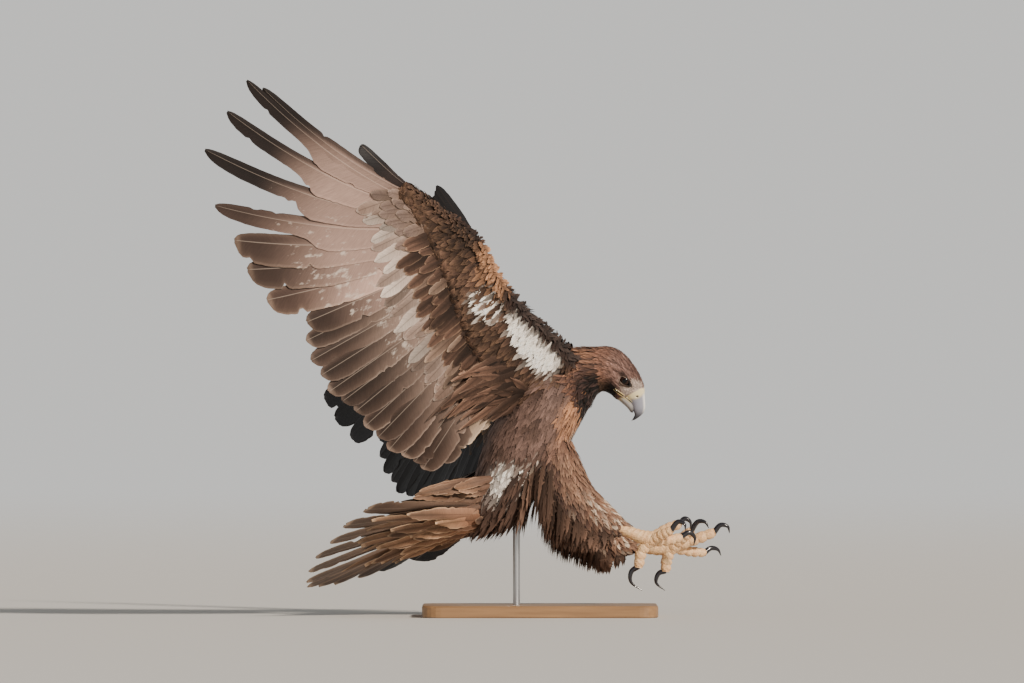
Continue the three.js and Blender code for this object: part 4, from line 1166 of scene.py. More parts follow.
class EAGLE_OT_tail(bpy.types.Operator):
    """Fans the tail feathers, with their coverts above and below"""

    bl_idname = "eagle.tail"
    bl_label = "Tail feathers"

    def execute(self, context):
        vane = feather_material("keratin_tail_vane", 0.54, 0.03, 0.18, ("#a89687", 0.5, 0.05), 0.5)
        covert = feather_material("soft_tail_covert", 0.64, 0.05, 0.24, ("#3a2a22", 0.45, 0.08))
        rng = np.random.default_rng(31)
        vanes = []
        for sign, spread in ((1, TAIL_SPREAD["near"]), (-1, TAIL_SPREAD["far"])):
            for i in range(TAIL_PAIRS):
                vanes.append({
                    "spot": on_tail(sign * spread * (i + 0.4) / 5.4, 10,
                                    TAIL_LENGTH - 10 - 5 * i + rng.normal(0, 3),
                                    2 if sign < 0 else -2),
                    "lead": TAIL_HALF, "trail": TAIL_HALF,
                    "tilt": 0.6 if sign < 0 and i == TAIL_PAIRS - 1 else VANE_TILT,
                    "outline": BLADE,
                    "fray": 0.06, "wave": 1.6,
                    # The two outermost far-side feathers are near-black below: painted shade, as
                    # they hang in the shadow of the tail.
                    "under": look("#35292a", "#1f1a1d", 0.3, 0.2, "#4a3c3a", 0.4)
                    if sign < 0 and i > 3 else
                    look("#a28777", "#5d4a3f", 0.3, 0.2, "#c4a890", 0.6),
                    "upper": look("#4a3930", "#221c1c", 0.2, 0.2, "#6d5443", 0.5),
                    "fade": (0.5, 0.92), "mottle": 0.42, "flecked": (0.5, 0.75), "splits": 4})
        piece = vane_piece("tail_feathers", vanes, vane, "tail_feathers", 56, 3)
        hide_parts("tail")
        vanes = []
        for face, count, start, reach, fan, heights, roll in (
                (1, 12, 40, 214, 0.98, (8, 5), 0.0), (1, 12, 26, 180, 0.94, (15, 13), -0.6),
                (1, 13, 8, 150, 0.92, (21, 18), -0.75), (1, 13, -10, 116, 0.9, (26, 22), -0.7),
                (1, 12, -26, 88, 0.85, (30, 26), -0.6),
                (-1, 14, 62, 150, 0.86, (-54, -14), 0.1), (-1, 14, 24, 136, 0.8, (-64, -38), 0.1),
                (-1, 12, -12, 120, 0.7, (-66, -54), 0.1)):
            for i in range(count):
                share = 2 * (i + 0.5) / count - 1
                angle = fan * share * TAIL_SPREAD["near" if share > 0 else "far"]
                warm = rng.random()
                under = look("#8f6d58", "#a98467", 0, 0.45, "#d0b292", 0.7)
                if start < 0:
                    under = look("#7a5b49", "#8f6b55", 0, 0.4, "#c4a488", 0.6)
                under["base"] = mix(under["base"], plumage("rufous"), warm * 0.7)
                under["tip"] = mix(under["tip"], "#6b5447", 1 - warm)
                vanes.append({
                    "spot": on_tail(angle + rng.normal(0, 4.5), start,
                                    reach * rng.uniform(0.82, 1.12), -2 * np.sign(share)),
                    "lead": 12 if start < 30 else 16, "trail": 12 if start < 30 else 16,
                    "low": heights[0] * (1 - 0.6 * (face < 0) * share ** 2),
                    "high": heights[1] + rng.normal(0, 1.5), "face": face,
                    "tilt": rng.normal(roll * np.sign(share + 0.01), 0.08),
                    "cup": 2.5 * face, "outline": COVERT_LEAF,
                    "fray": 0.2, "wave": 3, "vary": 0.22, "under": under, "quill": 0,
                    "upper": COVERT_TOP, "fade": (0.3, 0.9), "splits": 4})
        for i in range(36):
            side = 1 if i % 2 else -1
            layer, share = i // 18, (i % 18) // 2 / 8
            root = np.array([-90 - 16 * share + 12 * layer, side * (46 - 14 * share),
                             236 - 44 * share])
            run = np.array([-1, side * (0.25 - 0.1 * share), -0.24]) + rng.normal(0, 0.09, 3)
            reach = (112 - 36 * layer - 16 * share) * rng.uniform(0.75, 1.12)
            vanes.append({
                "spot": on_line(root, root + run * reach, (-0.2, side, 0.1)),
                "lead": 9.5, "trail": 9.5, "low": 2 + 3 * layer, "high": 2 + 3.5 * layer,
                "outline": COVERT_LEAF, "cup": 2.5, "fray": 0.2, "wave": 3.5, "vary": 0.3,
                "splits": 6, "quill": 0, "tilt": rng.normal(0.1, 0.1),
                "under": look("#5c4538", "#8b6a54", 0, 0.4, "#c4a489", 0.6),
                "upper": COVERT_TOP, "fade": (0.3, 0.9)})
        vane_piece("tail_covert_vanes", vanes, covert, "tail_feathers", 22, 4, "coarse", 0)
        return {"FINISHED"}


def down_style():
    """Soft down, with loose barbs."""
    return dict(LOOSE, length=plumage("down_length"), width=10, lift=4, fray=0.35, vary=0.03,
                yaw=0.15, teeth=11, root=0.95)


class EAGLE_OT_body_feathers(bpy.types.Operator):
    """Covers the skin with small feathers in the lie of the real coat"""

    bl_idname = "eagle.body_feathers"
    bl_label = "Body feathers"

    def execute(self, context):
        coat = feather_material("soft_contour_feather", 0.72, 0.06, 0.3, ("#241a17", 0.3, 0.12))
        self.torso(coat)
        self.neck(coat)
        self.head(coat)
        for name in THIGHS:
            self.leg(name, coat)
        self.tail_root(coat)
        for name, wing in WINGS.items():
            self.wing_arm(name, wing, coat)
        body_skin().paint()
        return {"FINISHED"}

    def torso(self, coat):
        """Breast, belly, flanks and back, with white down beside the vent."""
        found = scatter_outline("torso", TORSO, 0, (7.5, 7.5), (0.0, 1.0), (0, 360),
                                (-0.6, 0, -0.8), 1, 11, bend=0.8)
        roots, front = found["roots"], np.cos(found["turn"])
        streak = patches(roots * [1, 1, 0.35], 26, 1)
        centre = mix(plumage("brown"), plumage("plum"), 0.2 + 0.8 * streak)
        low = 1 - ramp(roots[:, 2], 240, 330)
        centre = mix(centre, plumage("brown"), 0.7 * low)
        flecks = blob(roots, (10, 60, 290), (18, 40, 26)) * (front > 0)
        flecks = flecks * ramp(patches(roots * [1, 1, 0.3], 9, 16), 0.45, 0.6)
        centre = mix(centre, "#d6c8bb", 0.8 * flecks)
        # The front of the breast is painted warmer and paler: partly its tawny colour, partly
        # painted highlight where the key light falls on the front.
        warm = ramp(front, 0.5, 0.95) * ramp(roots[:, 2], 265, 320)
        centre = mix(centre, plumage("rufous"), warm * (0.3 + 0.7 * streak))
        chest = blob(roots, (66, 30, 366), (30, 60, 46))
        centre = mix(centre, "#b98460",
                     chest * (0.3 + 0.6 * ramp(patches(roots * [1, 1, 0.3], 12, 6), 0.35, 0.6)))
        edge = blob(roots, (82, 0, 328), (18, 40, 30))
        centre = mix(centre, "#c9ad94", 0.6 * edge)
        pale = blob(roots, (-46, 60, 250), (50, 70, 50))
        pale *= 0.35 + 0.65 * ramp(patches(roots * [1, 1, 0.4], 12, 2), 0.3, 0.6)
        centre = mix(centre, plumage("white"), pale)
        rim = mix(centre * 1.1, plumage("tan"), 0.05 + 0.2 * warm)
        down = pale > 0.3
        body_feathers("torso_feathers", found, dict(
            LOOSE, length=plumage("body_length"), width=12, lift=5.5, vary=0.12, teeth=10),
            (centre, rim), coat, "body_feathers", 21, ~down)
        body_feathers("vent_down", found, down_style(), (centre, rim), coat, "body_feathers",
                      20, down)
        loose = scatter_outline("torso", TORSO, 0, (9, 9), (0.52, 0.99), (-75, 75),
                                (-0.5, 0, -0.8), 1, 18)
        dark = mix("#281d19", "#5a4439", patches(loose["roots"], 22, 7))
        body_feathers("vent_fringe", loose, dict(
            LOOSE, length=76, width=14, lift=6, cling=(0.6, 0), fall=(-0.4, 0, -0.9), teeth=10,
            core=0.45), (dark, dark * 1.3), coat, "body_feathers", 19)

    def neck(self, coat):
        """Golden hackles of the nape, darker towards the throat, where a painted shadow lies under
        the head.
        """
        found = scatter_outline("neck", NECK, 0, (4.8, 4.8), (0.05, 0.98), (0, 360),
                                (-1, 0, -0.1), -1, 12, bend=0.3)
        roots = found["roots"]
        behind = (1 - np.cos(found["turn"])) / 2
        streak = patches(roots * [0.35, 1, 1], 16, 3)
        dark = np.random.default_rng(41).random(len(roots)) < 0.35 + 0.3 * streak
        # The front of the neck under the head is painted near-black: its dark brown deepened to
        # painted shadow.
        chin_shadow = (1 - ramp(behind, 0.3, 0.64)) * ramp(roots[:, 0], 60, 78)
        centre = mix("#6b4b3c", "#120d0b", chin_shadow)
        centre = mix(centre, "#8f6651", ramp(behind, 0.5, 0.85) * (0.4 + 0.6 * streak))
        centre = mix(centre, "#412f2b", 0.8 * dark)
        rim = mix(centre * 1.2, plumage("gold"),
                  ramp(behind, 0.35, 0.8) * np.where(dark, 0.25, 0.7))
        body_feathers("nape_hackles", found, dict(
            POINTED, length=plumage("hackle_length"), width=6.5, lift=5.5), (centre, rim), coat,
            "nape_hackles", 22)

    def head(self, coat):
        """Crown, ear coverts and the short pale feathers of the lores."""
        found = scatter_outline("head", HEAD + [0, 0, 0, 0, 4], 0, (2.9, 2.9), (0.0, 0.99),
                                (0, 360), (-1, 0, 0.1), -1, 13, bend=0.0)
        run, rise = found["roots"][:, 0] - EYE["x"], found["roots"][:, 2] - EYE["z"]
        away = oval(run, rise, (1.2, -0.9), (12.5, 7.5), (0.8, 0.6))
        step = np.clip(((run + 19.5) * 33 - (rise + 10.5) * 25.5) / 1739, 0, 1)
        mouth = np.hypot(run + 19.5 - 33 * step, rise + 11.5 + 25.5 * step)
        keep = ((away > 1) & (mouth > 2.4)) | (np.abs(found["roots"][:, 1]) < 10)
        found = {key: value[keep] for key, value in found.items()}
        roots = found["roots"]
        behind = (1 - np.cos(found["turn"])) / 2
        streak = patches(roots * [0.5, 1, 1], 9, 5)
        dark = np.random.default_rng(42).random(len(roots)) < 0.4
        nape = mix("#80594a", "#412f2b", 0.8 * dark)
        centre = mix("#6c5047", "#98786e", streak)
        centre = mix(centre, "#453029", 0.45 * dark)
        crown = ramp(behind, 0.7, 0.9) * (0.3 + 0.7 * ramp(patches(roots, 12, 15), 0.35, 0.6))
        centre = mix(centre, "#573d35", crown * 0.85)
        centre = mix(nape, centre, ramp(found["share"], 0.02, 0.4))
        # The throat under the head is painted near-black: its dark brown deepened to painted
        # shadow.
        throat = (1 - ramp(behind, 0.12, 0.34)) * (1 - ramp(found["share"], 0.55, 0.9))
        centre = mix(centre, "#120d0b", throat)
        lores = blob(roots, (158, 18, 386), (26, 40, 20))
        centre = mix(centre, "#c8b6aa", lores * (0.75 + 0.25 * streak))
        x, y, z = roots.T
        # The feathers just over the eye are painted dark as the shadow of the bony shelf above it;
        # the wedge at the eye's front corner is a dark streak of the face.
        corner = 1 - ramp(oval(x, z, (153, 392.5), (9, 3.4), (0.73, 0.68)), 0.6, 1.1)
        brow_shadow = 1 - ramp(oval(x, z, (146, 406.5), (13, 2.6), (0.85, 0.53)), 0.6, 1.1)
        centre = mix(centre, "#2b1f1b", np.maximum(corner, 0.7 * brow_shadow) * (np.abs(y) > 12))
        rim = mix(centre * 1.3, plumage("gold"), 0.35 * (1 - ramp(found["share"], 0.1, 0.5)))
        face = (ramp(found["share"], 0.3, 0.85) >= 0.5) | (lores > 0.4)
        body_feathers("crown_feathers", found, dict(
            POINTED, length=15, width=4.2, lift=2.8, rows=5, sink=0.7, teeth=4),
            (centre, rim), coat, "head_feathers", 23, ~face)
        body_feathers("face_feathers", found, dict(
            POINTED, length=7.5, width=2.7, lift=1.7, rows=5, sink=0.3, teeth=3, vary=0.14),
            (centre, rim), coat, "head_feathers", 24, face)

    def leg(self, name, coat):
        """Long loose trousers behind, short feathers in front and down the shank."""
        form = f"thigh_{name}", THIGHS[name], THIGH_Y[name]
        found = scatter_outline(*form, (6, 6), (0.04, 0.98), (0, 360), (-0.15, 0, -1), 1, 14)
        roots, front = found["roots"], ramp(np.cos(found["turn"]), -0.3, 0.6)
        shank = ramp(found["share"], 0.55, 0.85) >= 0.5
        streak = patches(roots * [1, 1, 0.4], 18, 2)
        # The thigh is painted lighter and warmer towards its front: partly tawny front feathers,
        # partly painted highlight where the key light falls on that side.
        centre = mix("#382a28", "#5e453c", 0.3 * streak + 0.7 * front)
        warm = front * (0.3 + 0.7 * streak)
        centre = mix(centre, "#85604b", warm * 0.7)
        flecks = ramp(patches(roots, 9, 6), 0.58, 0.72) * np.maximum(
            front * ramp(found["share"], 0.3, 0.6), blob(roots, (8, 60, 262), (16, 40, 26)))
        centre = mix(centre, "#cdbba8", flecks)
        rim = mix(centre * 1.3, plumage("tan"), 0.1 + 0.3 * front)
        body_feathers(f"thigh_feathers_{name}", found, dict(
            LOOSE, length=36, width=9.5, lift=5.5, vary=0.12), (centre, rim), coat,
            "body_feathers", 26, ~shank)
        body_feathers(f"shank_feathers_{name}", found, dict(
            LOOSE, length=20, width=7, lift=4, vary=0.08, cling=(1, 0.5), core=0.7),
            (centre, rim), coat, "body_feathers", 27, shank)
        loose = scatter_outline(*form, (7, 6), (0.1, 0.9), (100, 260), (-0.3, 0, -1), 1, 17)
        dark = mix("#3b2d26", "#755a4b", patches(loose["roots"], 20, 9))
        length = np.interp(loose["share"], [0.1, 0.35, 0.55, 0.75, 0.9], [106, 102, 68, 46, 30])
        body_feathers(f"trouser_feathers_{name}", loose, dict(
            LOOSE, length=length, width=13, lift=5, fray=0.3, cling=(0.2, 0),
            fall=(-0.3, 0, -2.4), rows=9, teeth=12), (dark, dark * 1.3), coat,
            "body_feathers", 25)

    def tail_root(self, coat):
        """Softer feathers where the body runs into the tail."""
        rng = np.random.default_rng(15)
        share, turn = ring_grid(0.02, 0.9, 14, 34)
        turn = turn + (np.arange(14) % 2)[:, None] * 0.09 + rng.normal(0, 0.03, turn.shape)
        share, turn = share.ravel(), turn.ravel()
        ahead, behind = tail_core_point(share + 0.05, turn), tail_core_point(share - 0.05, turn)
        uvs = unwrap(PARTS.index("tail"), share, (turn / (2 * math.pi)) % 1)
        found = keep_outside({"roots": tail_core_point(share, turn), "ways": ahead - behind,
                              "uvs": uvs}, 30)
        streak = patches(found["roots"], 30, 4)
        centre = mix("#5d463b", "#8a654d", streak)
        above = ramp(body_skin().nearest(found["roots"])[1][:, 2], 0.1, 0.7)
        centre = mix(centre, "#3b2c25", 0.85 * above)
        rim = mix(centre * 1.2, plumage("tan"), 0.5 - 0.2 * above)
        body_feathers("tail_root_feathers", found, {
            "leaf": ROUND_LEAF, "length": 58, "width": 19, "lift": 8, "fray": 0.3,
            "cling": (1, 0.4), "rows": 8, "teeth": 11}, (centre, rim), coat, "tail_feathers",
            28)

    def wing_arm(self, name, wing, coat):
        """Lesser and marginal coverts, over both faces and round the leading edge."""
        fine = self.arm_roots(name, wing, 6.5, 60)
        centre, rim, white = self.arm_colours(fine)
        u, v, chord = fine["u"], fine["v"], fine["chord"]
        forward = dict(fine, ways=unit(wing_middle(wing, u - 1, v - 0.6) - wing_middle(wing, u, v)))
        dusk = np.where(u[:, None] < 140, rgb("#352a26"), centre)
        body_feathers(f"shoulder_fringe_{name}", forward, dict(
            LOOSE, length=np.where(u < 140, 19, 10), width=6.5, lift=7, fray=0.5, yaw=0.5,
            sink=0.5, cling=(0.5, 0), vary=0.2, core=0.7), (dusk, dusk * 1.3), coat,
            "wing_feathers", 33, (chord < 0.1) & (u < 300))
        down = white > 0.5
        for part, choose, style in (
                ("marginal_coverts", (chord < 0.16) & (white < 0.5), dict(
                    LOOSE, length=19, width=8, lift=6, fray=0.35, yaw=0.3, sink=0.5, vary=0.2,
                    core=0.7)),
                ("armpit_feathers", (u < 30) & (chord >= 0.16) & ~down, dict(
                    LOOSE, length=36, width=9, lift=5)),
                ("axillary_down", down, down_style())):
            body_feathers(f"{part}_{name}", fine, style, (centre, rim), coat, "wing_feathers",
                          29, choose)
        coarse = self.arm_roots(name, wing, 9.5, 36)
        centre, rim, white = self.arm_colours(coarse)
        outer = (coarse["chord"] > 0.12) & (coarse["u"] > 26)
        for face, choose in (("under", coarse["under"] & (white < 0.5)),
                             ("upper", ~coarse["under"])):
            # The lesser coverts are painted much darker at their roots: painted shade under the row
            # above.
            body_feathers(f"lesser_coverts_{face}_{name}", coarse, {
                "leaf": OVAL_LEAF, "length": 38, "width": 13.5, "lift": 5, "fray": 0.25,
                "cling": (1, 0.2), "vary": 0.32, "teeth": 10, "yaw": 0.14, "root": 0.35},
                (centre, rim), coat, "wing_feathers", 30, choose & outer)

    def arm_roots(self, name, wing, step, around):
        """Staggered roots on both faces of the fleshy part of a wing."""
        rng = np.random.default_rng(16)
        u, place = np.meshgrid(np.arange(WING_START + 6, WING_END, step),
                               np.linspace(0, 1, around, endpoint=False), indexing="ij")
        place = place + (np.arange(u.shape[0]) % 2)[:, None] / (2 * around)
        u = (u + rng.normal(0, 0.2 * step, u.shape)).ravel()
        place = (place + rng.normal(0, 0.18 / around, place.shape)).ravel() % 1
        chord, v = wing_round(u, place)
        lean = np.interp(u, [0, 200, WING_END], [0.1, 0.35, 1.6])
        ways = unit(wing_middle(wing, u + lean, v + 1) - wing_middle(wing, u, v))
        uvs = unwrap(PARTS.index(f"wing_{name}"), (u - WING_START) / 410, place)
        return keep_outside({"roots": wing_core_point(wing, u, place), "ways": ways,
                             "uvs": uvs, "u": u, "v": v, "chord": chord,
                             "under": place < 0.5}, 14)

    def arm_colours(self, found):
        """Dark brown, tawny at the wrist, with the white axilla and its spots."""
        u, v, chord = found["u"], found["v"], found["chord"]
        streak = patches(found["roots"], 24, 5)
        under = found["under"].astype(float)
        centre = mix("#32241d", "#533d33", streak)
        edge = (1 - ramp(chord, 0.03, 0.16)) * (1 - ramp(u, 140, 165))
        centre = mix(centre, INK, edge)
        wrist = ramp(u, 140, 165) * (1 - ramp(u, 215, 240)) * (1 - ramp(chord, 0.06, 0.2))
        centre = mix(centre, "#a5795a", wrist * under)
        centre = mix(centre, INK,
                     ramp(u, 222, 245) * (1 - ramp(u, 275, 300)) * (1 - ramp(chord, 0.2, 0.5)))
        axilla = 1 - ramp(oval(u, v, (60, -7), (66, 33), (0.961, 0.277)), 0.8, 1.05)
        spots = 1 - ramp(oval(u, v, (156, 4), (36, 22)), 0.6, 1.0)
        spots *= ramp(patches(found["roots"], 20, 8), 0.28, 0.4)
        white = np.clip(axilla + spots, 0, 1) * under * ramp(chord, 0.05, 0.13)
        centre = mix(centre, plumage("white"), white)
        rim = mix(centre * 1.15, "#947459", 0.3 * (1 - white) * (1 - edge))
        return centre, rim, white


class EAGLE_OT_bill(bpy.types.Operator):
    """Makes the blue-grey bill, with a painted highlight along its top, a yellow cere and a dark
    tip
    """

    bl_idname = "eagle.bill"
    bl_label = "Bill"

    def execute(self, context):
        # Grown horn, rubbed smooth in life: a satin gloss over a faint grain. The real grain
        # is 0.2 mm fine, too fine to show, so it is drawn 1.4 mm wide.
        material, tree = new_material("polished_horn_and_cere")
        tint = add_node(tree, "ShaderNodeAttribute", attribute_name="tint")
        grain = add_node(tree, "ShaderNodeTexNoise", {"Scale": cells(1.4286), "Detail": 3.0})
        bump = add_node(tree, "ShaderNodeBump", {
            "Height": grain, "Strength": 0.08, "Distance": 0.5 * MM})
        finish_surface(tree, {
            "Base Color": tint, "Normal": bump,
            "Roughness": 0.3, "Coat Weight": 0.25})
        bare = context.scene.eagle_bare
        rows, sides = 120, 84
        share, turn = ring_grid(0, 1, rows, sides)
        narrow = (1 - 0.8 * ramp(share, 0.86, 1.0) ** 2)[..., None]
        upper, lower = (
            points.mean(axis=1, keepdims=True) * (1 - narrow) + points * narrow
            for points in (outline_point(form, share, turn) for form in (BILL_UPPER, BILL_LOWER)))
        # The top of the upper bill is painted near-white: a painted highlight where the key light
        # catches it.
        ridge_highlight = ramp(-np.cos(turn), 0.55, 0.95)
        horn = mix(bare.horn, "#efece6", ridge_highlight * (1 - ramp(share, 0.5, 0.75)))
        horn = mix(horn, "#232228", ramp(share, 0.45, 0.85))
        edge = 0.24 - 0.02 * np.cos(2 * turn)
        cere = 1 - ramp(share, edge - 0.02, edge + 0.06)
        upper += unit(upper - upper.mean(axis=1, keepdims=True)) * (0.9 * cere)[..., None]
        horn = mix(horn, bare.cere, cere * 0.9)
        # The nostril is painted dark: painted shade in the opening, over a shallow dent.
        nostril = 1 - ramp(oval(upper[..., 0], upper[..., 2], (165, 374), (3.2, 2)), 0.45, 1.0)
        upper[..., 1] *= 1 - 0.2 * nostril
        horn = mix(horn, "#1d1612", nostril)
        mandible = mix("#a8956f", "#95918e", ramp(share, 0.15, 0.4))
        mandible = mix(mandible, "#4a484a", ramp(share, 0.6, 0.95))
        faces, trees = tube_faces(rows, sides), []
        for half, points, tints in (("upper", upper, horn), ("lower", lower, mandible)):
            piece = mesh_piece(f"horn_bill_{half}", points, faces, material, "bill_horn", tints,
                               uvs=np.stack([turn / 7, share], -1))
            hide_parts(f"bill_{half}")
            trees.append(BVHTree.FromPolygons((points.reshape(-1, 3) * MM).tolist(),
                                              faces.tolist()))
        trees.append(body_skin().tree)
        # The gape is the pale flange; the dark tube between the mandibles is painted shade in the
        # slit of the closed mouth.
        for part, paths, radius, tone in (("gape", GAPE, 0.85, "#c9b27a"),
                                          ("mouth_shadow_line", [GAPE.mean(axis=0)], 0.7, "#191210")):
            tubes = []
            for side in (-1, 1):
                for path in paths:
                    spine = []
                    for x, z in zip(*(np.interp(np.linspace(0, 1, 12), [0, 0.33, 0.67, 1],
                                                path[:, k]) for k in range(2))):
                        start = Vector((x, side * 80, z)) * MM
                        hits = [tree.ray_cast(start, (0, -side, 0))[0] for tree in trees]
                        depth = [abs(hit.y) / MM for hit in hits if hit]
                        if depth:
                            spine.append([x, side * (max(depth) + 0.3), z])
                    tubes.append(tube(spine, [0.3, radius, radius, 0.3], 16, 50))
            points, faces = joined(tubes)
            mesh_piece(part, points, faces, material, "bill_horn",
                       np.broadcast_to(rgb(tone), points.shape),
                       uvs=np.stack([points[:, 0] / 400, points[:, 2] / 500], -1))
        return {"FINISHED"}


class EAGLE_OT_eyes(bpy.types.Operator):
    """Makes dark brown eyes with a wet cornea, in almond-shaped lids"""

    bl_idname = "eagle.eyes"
    bl_label = "Eyes"

    def execute(self, context):
        bare = context.scene.eagle_bare
        # Bare skin of the lids, drawn tight: matt with a faint gloss.
        lid_skin = painted_material("lid_skin", {"Roughness": 0.5})
        ball_radius = bare.eye_radius / MM
        for name, side in (("right", -1), ("left", 1)):
            # Cornea, kept wet by the lids: clear and glossy over a dark iris.
            material = painted_material(f"wet_eye_{name}", {"Roughness": 0.04,
                                                            "Specular IOR Level": 0.3})
            rows = sides = 48
            polar, turn = ring_grid(0.02, math.pi - 0.02, rows, sides)
            ball = np.stack([np.sin(polar) * np.cos(turn), side * np.cos(polar),
                             np.sin(polar) * np.sin(turn)], -1) * ball_radius
            middle = np.array([EYE["x"], side * EYE["y"], EYE["z"]])
            tints = mix("#040303", bare.iris, ramp(polar, 0.42, 0.52))
            tints = mix(tints, "#0c0705", ramp(polar, 0.66, 0.82))
            piece = mesh_piece(f"eyeball_{name}", ball + middle, tube_faces(rows, sides),
                               material, "eye", tints,
                               uvs=np.stack([turn / 7, polar / 3.2], -1))
            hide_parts(f"eye_{name}")
            turn = np.linspace(0, 2 * math.pi, 64, endpoint=False)
            slant = turn + LID_SLANT
            short = np.where(np.sin(slant) > 0, LID_ABOVE, LID_BELOW)
            opening = 1 / np.hypot(np.cos(slant) / LID_LONG, np.sin(slant) / short)
            outer = np.maximum(opening + 3.6, 11)
            rear = ramp(-np.cos(slant) - 0.6 * np.sin(slant), 0.3, 1.0)
            front = ramp(np.cos(slant) + 0.8 * np.sin(slant), 0.2, 0.9)
            # Each ring is painted darker by its share of dark: near-black where the lids meet the
            # eyeball, painted shade in that crease, and darker where they run under the feathers,
            # painted shade too. The front and upper side are darker still, a painted shadow of the
            # bony shelf over the eye. The pale line on the rear lower lid is the lid's own colour.
            rings, shades = [], []
            for share, rise, dark, pale in ((0, -1.2, 1, 0), (0.03, 0.5, 1, 0),
                                            (0.12, 0.9, 0.7, 0.2), (0.2, 1.0, 0.1, 1),
                                            (0.36, 0.7, 0.2, 0.3), (0.65, 0, 0.35, 0),
                                            (1, -2.6, 0.5, 0)):
                radius = opening + (outer - opening) * share
                depth = np.sqrt(np.maximum(ball_radius ** 2 - radius ** 2, 0))
                depth = np.maximum(depth, 4.6 - 2 * share) + rise
                rings.append(middle + np.stack([radius * np.cos(turn), side * depth,
                                                radius * np.sin(turn)], -1))
                tone = mix(mix("#7d685b", "#15100e", dark), "#1b1411", front)
                shades.append(mix(tone, "#cdb9a6", pale * rear))
            faces = tube_faces(len(rings), 64)[:(len(rings) - 1) * 64]
            around = np.broadcast_to(turn / 7, (len(rings), 64))
            across = np.broadcast_to(np.linspace(0.1, 0.9, len(rings))[:, None], around.shape)
            mesh_piece(f"lids_{name}", rings, faces, lid_skin, "eye", shades,
                       uvs=np.stack([around, across], -1))
        return {"FINISHED"}


class EAGLE_OT_feet(bpy.types.Operator):
    """Makes scaled toes with pads below and scutes above, and curved claws"""

    bl_idname = "eagle.feet"
    bl_label = "Feet"

    def execute(self, context):
        bare = context.scene.eagle_bare
        # Keratin scales grown over the toes: dry, with a dull gloss. They are 2.6 mm wide, and
        # the tan clouds over them 11 mm.
        skin, tree = new_material("scaled_yellow_skin")
        where = add_node(tree, "ShaderNodeTexCoord")
        scales = add_node(tree, "ShaderNodeTexVoronoi", {
            "Vector": where.outputs["Object"], "Scale": cells(2.6316)})
        cloud = add_node(tree, "ShaderNodeTexNoise", {
            "Vector": where.outputs["Object"], "Scale": cells(11.111), "Detail": 3.0})
        clouded = add_node(tree, "ShaderNodeMix", {
            "Factor": cloud, 6: rgba("#efb078"), 7: rgba(bare.toes)},
            data_type="RGBA")
        shade = add_node(tree, "ShaderNodeMapRange", {
            "Value": scales, "From Min": 0.15, "From Max": 0.75,
            "To Min": 1.0, "To Max": 0.74})
        tint = add_node(tree, "ShaderNodeVectorMath", {
            0: clouded.outputs[2], "Scale": shade}, operation="SCALE")
        bump = add_node(tree, "ShaderNodeBump", {
            "Height": scales, "Strength": 0.6, "Distance": 1.2 * MM},
            invert=True)
        finish_surface(tree, {"Base Color": tint, "Normal": bump, "Roughness": 0.5})
        # Black horn of the claws, polished by use: smooth with a clear gloss.
        horn, tree = new_material("polished_black_claw")
        finish_surface(tree, {"Base Color": rgba(bare.claws), "Roughness": 0.2, "Coat Weight": 0.4})
        for name, foot in FEET.items():
            side = np.array([1, foot["side"], 1])
            tubes = [tube(foot["tarsus"] * side, TARSUS_RADII, 32, 50,
                          bumps=lambda place, turn: 0.5 * np.sin(place * 40 + turn * 3))]
            for number, (path, radius, claw) in enumerate(foot["toes"]):
                below = 0 if number == 3 else math.pi
                pads = 4 if number == 3 else 5

                def bumps(place, turn):
                    pad = np.abs(np.sin(math.pi * pads * place + 0.3)) ** 0.7 - 0.55
                    scute = (place * pads * 4) % 1
                    under = np.clip(np.cos(turn - below), 0, 1)
                    over = np.clip(-np.cos(turn - below), 0, 1)
                    side_lumps = 0.2 * np.sin(place * 46 + 5 * turn)
                    return (2.6 * pad * under + 0.4 * scute * over + side_lumps
                            + 1.2 * pad * (1 - under))

                tubes.append(tube(path * side, [radius + 1, radius - 0.5, radius - 0.5,
                                                radius - 2.2], 36, 110, bumps=bumps))
                points, faces = tube(claw * side, CLAW_RADII, 24, 60)
                piece = mesh_piece(f"talon_{name}_{number + 1}", points, faces, horn, "claw_horn")
                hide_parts(f"claw_{name}_{number + 1}")
            points, faces = joined(tubes)
            piece = mesh_piece(f"toes_{name}", points, faces, skin, "toe_skin")
            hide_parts(f"foot_{name}")
        return {"FINISHED"}


class EAGLE_OT_stand(bpy.types.Operator):
    """Finishes the oak base and the steel rod"""

    bl_idname = "eagle.stand"
    bl_label = "Stand"

    def execute(self, context):
        settings = context.scene.eagle_stand
        # Oak, planed and waxed: satin, with its grain along the board. Real pores are 0.3 mm
        # wide, too fine to show, so the grain is drawn 5.6 mm wide and 111 mm long.
        oak, tree = new_material("waxed_oak")
        where = add_node(tree, "ShaderNodeTexCoord")
        stretch = add_node(tree, "ShaderNodeMapping", {
            "Vector": where.outputs["Object"],
            "Scale": (cells(111.11), cells(5.5556), cells(5.5556))})
        grain = add_node(tree, "ShaderNodeTexNoise", {
            "Vector": stretch, "Scale": 1.0, "Detail": 6.0})
        tint = add_node(tree, "ShaderNodeMix", {
            "Factor": grain, 6: rgba(settings.oak_dark),
            7: rgba(settings.oak_light)}, data_type="RGBA")
        finish_surface(tree, {"Base Color": tint.outputs[2], "Roughness": 0.45})
        # Steel rod, drawn and brushed: a soft grey metal shine.
        steel, tree = new_material("satin_steel")
        finish_surface(tree, {"Base Color": rgba(settings.steel), "Metallic": 1.0,
                              "Roughness": 0.32})
        for node, material in (("stand_base", oak), ("stand_rod", steel)):
            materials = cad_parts[node].data.materials
            materials.clear()
            materials.append(material)
        return {"FINISHED"}


# Place of the middle of the picture in millimetres, half the floor's side in metres, and the
# way and the spread of the key light.
CAMERA_X, CAMERA_Z, FLOOR_HALF = -47.6, 467.5, 60
SUN_WAY, SUN_ANGLE = (-0.55, 0.72, -0.5), math.radians(6)


